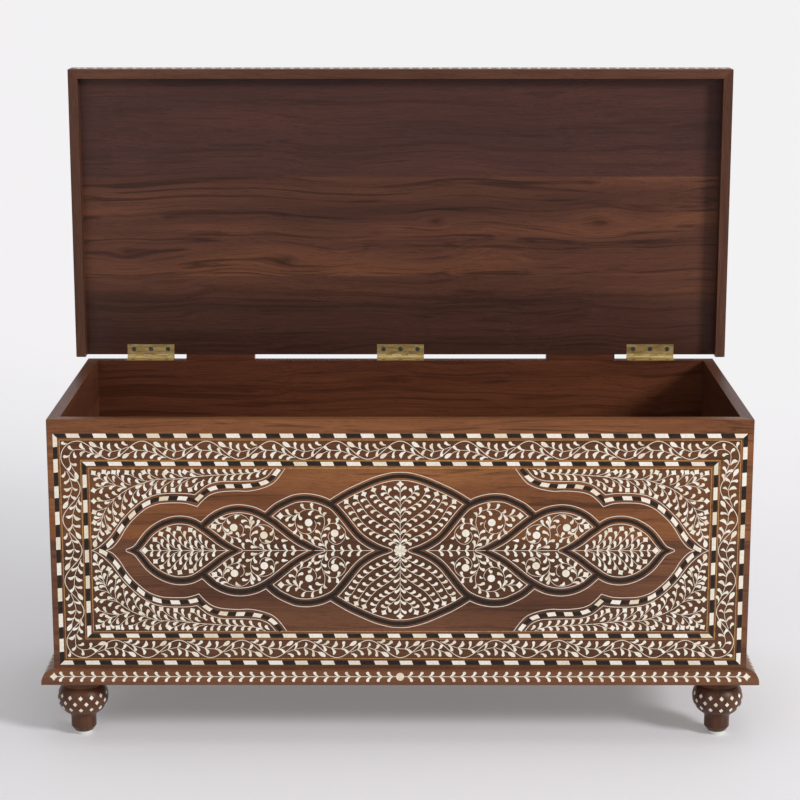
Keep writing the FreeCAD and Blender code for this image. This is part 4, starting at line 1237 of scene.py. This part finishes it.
# %% Leaf line
LEAF_PITCH, FROM_DISC, FROM_DIAMOND, BOTH_ENDS = 15.42, 11.0, 15.4, 26.0
HEAD_ON, HEAD_UP, TAIL_UP, LINE_SHORT, PAST_MIDDLE, LINE_LEAF = 5.6, 5.3, 0.7, 5.0, 9.0, (2.4, 0.25)
DIAMOND = np.array([(6.2, 0), (2.6, 0.42), (0, 1), (-2.6, 0.42), (-6.2, 0), (-2.6, -0.42), (0, -1),
                    (2.6, -0.42)])


def leaf_line(half, lift=0.0, height=6.0):
    """A line with leaf pairs about every LEAF_PITCH, a disc at 0 and diamonds at half and -half."""
    count = int((half - BOTH_ENDS) // LEAF_PITCH) + 1
    tail = FROM_DISC + (half - FROM_DIAMOND - FROM_DISC) / (count - 1) * np.arange(count)
    pair = np.column_stack([tail + HEAD_ON, tail * 0 + HEAD_UP, tail, tail * 0 + TAIL_UP])
    marks = np.vstack([pair * [s, up, s, up] for s in (1, -1) for up in (1, -1)])
    run = np.linspace(-half + LINE_SHORT, half - LINE_SHORT, 12)
    line = np.column_stack([run, 0 * run])
    right = marks[:, 0] > 0
    diamond = DIAMOND * [1, height]
    return [
        strip(line, LINE, LINE_TOP + lift),
        cut(commas(marks[right], [line[run > -PAST_MIDDLE]], *LINE_LEAF), LEAF_TOP + lift),
        cut(commas(marks[~right], [line[run < PAST_MIDDLE][::-1]], *LINE_LEAF), LEAF_TOP + lift),
        cut(np.stack([diamond + [half, 0], diamond - [half, 0]]), LEAF_TOP + lift),
        cut(disc([(0, 0)], 5.9, 16), DISC_TOP + lift),
    ]


def rolled(middle, across, out, radius, start):
    """Rolls a flat drawing round an edge: with the angle c = start + b / r, a point goes to
    middle + a across + (r + h)(cos c out + sin c up)."""
    middle, across, out = (np.array(v, float) for v in (middle, across, out))
    rise = np.array([0, 0, 1.0])

    def place(points):
        angle = (start + points[:, 1] / radius)[:, None]
        reach = (radius + points[:, 2])[:, None]
        return middle + MM * (points[:, :1] * across + reach * (np.cos(angle) * out + np.sin(angle) * rise))

    return place


ARC, ARC_START, BASE_LIFT, CORNER_FREE = 17.0, math.radians(30), 0.16, 1.0
front_low, front_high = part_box("front_plank_lower")
side_x, back_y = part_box("right_plank_lower")[1][0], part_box("back_plank_lower")[1][1]
arc_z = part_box("base_frame_front")[1][2] - ARC * MM
middle_y = (front_low[1] + back_y) / 2
half_front = front_high[0] / MM - CORNER_FREE
half_side = (back_y - front_low[1]) / 2 / MM - CORNER_FREE
BASE_LINES = {
    "base_line_front": ((0, front_low[1], arc_z), (1, 0, 0), (0, -1, 0), half_front),
    "base_line_left": ((-side_x, middle_y, arc_z), (0, -1, 0), (-1, 0, 0), half_side),
    "base_line_right": ((side_x, middle_y, arc_z), (0, 1, 0), (1, 0, 0), half_side),
}
for name, (middle, across, out, half) in BASE_LINES.items():
    make(name, leaf_line(half, BASE_LIFT), rolled(middle, across, out, ARC, ARC_START), "box", bone)
print("half lengths of the base line", round(half_front, 2), round(half_side, 2), "arc z", round(arc_z, 4))

# %% Line on the lid's rims
RIM_SHORT, RIM_DIAMOND = 14, 6.5
rim_low, rim_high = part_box("lid_rim_front")
side_low, side_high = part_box("lid_rim_right")
rim_y = (rim_low[1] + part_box("lid_plank_front")[1][1]) / 2
middle_z = (rim_high[2] + side_low[2]) / 2
RIM_LINES = {
    "rim_line_front": ((0, rim_y, rim_high[2]), (1, 0, 0), rim_high[0] / MM - RIM_SHORT),
    "rim_line_left": ((-side_high[0], rim_y, middle_z), (0, 0, 1), (rim_high[2] - middle_z) / MM - RIM_SHORT),
    "rim_line_right": ((side_high[0], rim_y, middle_z), (0, 0, -1), (rim_high[2] - middle_z) / MM - RIM_SHORT),
}
for name, (middle, across, half) in RIM_LINES.items():
    edge = {"middle": np.array(middle), "across": np.array(across, float), "up": np.array([0, 1.0, 0])}
    edge["out"] = np.cross(edge["across"], edge["up"])
    make(name, leaf_line(half, height=RIM_DIAMOND), lambda p: on_face(edge, p), "lid", bone)

# %% [markdown]
# ## Diamonds on the feet
# Three rows of fourteen small diamonds go round the bulb of each turned foot, and the middle row is
# shifted by half a step. The bulb's radius at each height is read from the CAD foot itself, so each
# diamond hugs the wood although it is drawn flat.

# %% Foot diamonds
ROWS, AROUND, WIDE, TALL = [(65.5, 2.0), (56.4, 14.9), (46.6, 2.0)], 14, 3.3, 3.5
INSIDE_FOOT, DIAMOND_TOP = 18.0, 0.34
RHOMB = np.array([(0, 1), (-0.5, 0.5), (-1, 0), (-0.5, -0.5), (0, -1), (0.5, -0.5), (1, 0), (0.5, 0.5)])


def foot_diamonds(foot):
    """Rhombs drawn as (angle, z) and placed at axis + (r(z) + h)(sin, -cos), with r(z) from the foot."""
    mesh = frame["nodes"][foot].data
    co = np.zeros(len(mesh.vertices) * 3)
    mesh.vertices.foreach_get("co", co)
    co = co.reshape(-1, 3) / MM
    axis = (co.min(0) + co.max(0))[:2] / 2
    radius = np.hypot(*(co[:, :2] - axis).T)
    outer = radius > INSIDE_FOOT
    order = np.argsort(co[outer, 2])
    heights, radii = co[outer, 2][order], radius[outer][order]
    turns = np.radians(np.arange(AROUND) * 360 / AROUND)
    chunks = []
    for z, phase in ROWS:
        here = np.interp(z, heights, radii)
        across = (turns + math.radians(phase))[:, None] * here + RHOMB[None, :, 0] * WIDE
        up = np.broadcast_to(z + RHOMB[None, :, 1] * TALL, across.shape)
        points, faces, tones = cut(np.stack([across, up], -1), DIAMOND_TOP)
        angle = points[:, 0] / here
        reach = np.interp(points[:, 1], heights, radii) + points[:, 2]
        placed = [axis[0] + reach * np.sin(angle), axis[1] - reach * np.cos(angle), points[:, 1]]
        chunks.append((np.column_stack(placed), faces, tones))
    make("diamonds_" + foot, chunks, lambda p: p * MM, "box", bone)


for foot in ("foot_front_left", "foot_front_right", "foot_back_left", "foot_back_right"):
    foot_diamonds(foot)

# %% [markdown]
# ## Floor, backdrop and light
# The photograph was taken in a pale studio: a soft floor with a wide shadow under the trunk, and a
# nearly white wall that fades into it. One sheet makes both. Near the trunk it is a diffuse floor that
# takes the shadow, with a 0.22 share of pale glow mixed in as painted light that lifts that shadow.
# Further back it turns slowly into the glow alone, so that the wall stays pale without more light on the
# trunk. The glow's tone carries painted shade: darker towards the front and the left, lighter towards the
# back right. Camera, mirror and glass rays see the glow, other rays don't.

# %% Floor and backdrop
FLOOR_NEAR, FLOOR_FAR, WALL_TOP_Z, BEND, HALF_WIDE = -3.6, 2.6, 3.4, 1.4, 6.0


def backdrop():
    """A profile carried across x: the floor, then a quarter circle of radius BEND, then the wall."""
    angle = np.linspace(-np.pi / 2, 0, 17)
    flat = np.linspace(FLOOR_NEAR, FLOOR_FAR, 24)[:-1]
    profile = np.vstack([
        np.column_stack([flat, 0 * flat]),
        np.column_stack([FLOOR_FAR + BEND * np.cos(angle), BEND + BEND * np.sin(angle)]),
        [[FLOOR_FAR + BEND, WALL_TOP_Z]],
    ])
    x, row = np.meshgrid(np.linspace(-HALF_WIDE, HALF_WIDE, 25), np.arange(len(profile)))
    points = np.stack([x, profile[row, 0], profile[row, 1]], -1).reshape(-1, 3)
    index = np.arange(len(points)).reshape(x.shape)
    quads = np.stack([index[:-1, :-1], index[:-1, 1:], index[1:, 1:], index[1:, :-1]], -1).reshape(-1, 4)
    mesh = bpy.data.meshes.new("backdrop")
    mesh.from_pydata(points.tolist(), [], quads.tolist())
    sheet = bpy.data.objects.new("backdrop", mesh)
    bpy.context.scene.collection.objects.link(sheet)
    return sheet


studio = backdrop()
print("backdrop", len(studio.data.vertices), "points")

# %% Finish of the floor and the wall
floor_paint, tree, shader, place = finish("studio_floor")
feed(tree, shader, Base_Color=tint(246, 244, 247), Roughness=0.9)
rays = node(tree, "LightPath")
seen = sums(tree, "MAXIMUM", rays["Is Camera Ray"], rays["Is Glossy Ray"])
seen = sums(tree, "MAXIMUM", seen, rays["Is Transmission Ray"])
apart = node(tree, "SeparateXYZ", Vector=place)
# Painted light: camera rays see at least a 0.22 share of glow even next to the trunk, which lifts the trunk's
# cast shadow; the share grows to 1 towards the wall.
painted_lift_share = node(tree, "MapRange", "Result", {"interpolation_type": "SMOOTHSTEP"}, Value=apart["Y"], From_Min=-0.1,
            From_Max=2.2, To_Min=0.22)
# Painted shade: the glow's tone is darker towards the front and the left, where the key lamp on the right
# leaves shade, and lighter towards the back right.
slope = sums(tree, "MULTIPLY_ADD", apart["X"], 0.9, apart["Y"])
rise = node(tree, "MapRange", "Result", Value=slope, From_Min=0.0, From_Max=4.0)
painted_shade_tone = ramp(tree, rise, [
    (0.0, tint(222, 221, 223)), (0.12, tint(230, 230, 232)), (0.47, tint(243, 241, 243)),
    (1.0, tint(243, 242, 243)),
])
glow = node(tree, "Emission", "Emission", Color=painted_shade_tone, Strength=1.0)
share = sums(tree, "MULTIPLY", seen, painted_lift_share)
mix = node(tree, "MixShader", "Shader", _0=share, _1=shader.outputs["BSDF"], _2=glow)
feed(tree, tree.nodes["Material Output"], Surface=mix)
dress(studio, floor_paint)
print("floor finish", floor_paint.name)

# %% [markdown]
# ## Lamps, world and camera
# A large soft key lamp stands high on the right, a weak fill lamp low on the left, a weak top lamp hangs
# over the lid, and the world gives the rest. The camera was worked out from eighteen corners of the trunk:
# it stands 3.1 m before the front, looks down by 12.4 degrees and has a long lens, which is why the trunk
# looks nearly square on.

# %% Lamps and world
def lamp(name, where, aim, size, power):
    """A square area lamp whose -Z axis points from where to aim."""
    light = bpy.data.lights.new(name, "AREA")
    light.shape, light.size, light.energy = "SQUARE", size, power
    thing = bpy.data.objects.new(name, light)
    thing.location = where
    back = np.subtract(where, aim) / np.linalg.norm(np.subtract(where, aim))
    thing.rotation_euler = (math.acos(back[2]), 0, math.atan2(back[0], -back[1]))
    bpy.context.scene.collection.objects.link(thing)


lamp("key", (6.2, -4.9, 4.2), (0, 0, 0.4), 1.9, 530)
lamp("fill", (-2.0, -3.4, 1.2), (0, 0, 0.3), 2.4, 16)
lamp("top", (0.2, 0.2, 3.4), (0, 0, 0.4), 2.6, 20)
world = bpy.data.worlds.new("studio")
world.use_nodes = True
feed(world.node_tree, world.node_tree.nodes["Background"], Color=grey(1.0), Strength=0.36)
bpy.context.scene.world = world
bpy.context.scene.view_settings.view_transform = "Standard"
print("lamps", len(bpy.data.lights))

# %% Camera
PITCH, YAW, LENS = 12.408, 0.0619, 100.905
camera = bpy.data.objects.new("camera", bpy.data.cameras.new("camera"))
camera.data.lens, camera.data.sensor_width = LENS, 36.0
camera.location = (0.0031, -3.3576, 1.2049)
camera.rotation_euler = (math.radians(90 - PITCH), 0, math.radians(YAW))
bpy.context.scene.collection.objects.link(camera)
bpy.context.scene.camera = camera
print("camera", tuple(camera.location))
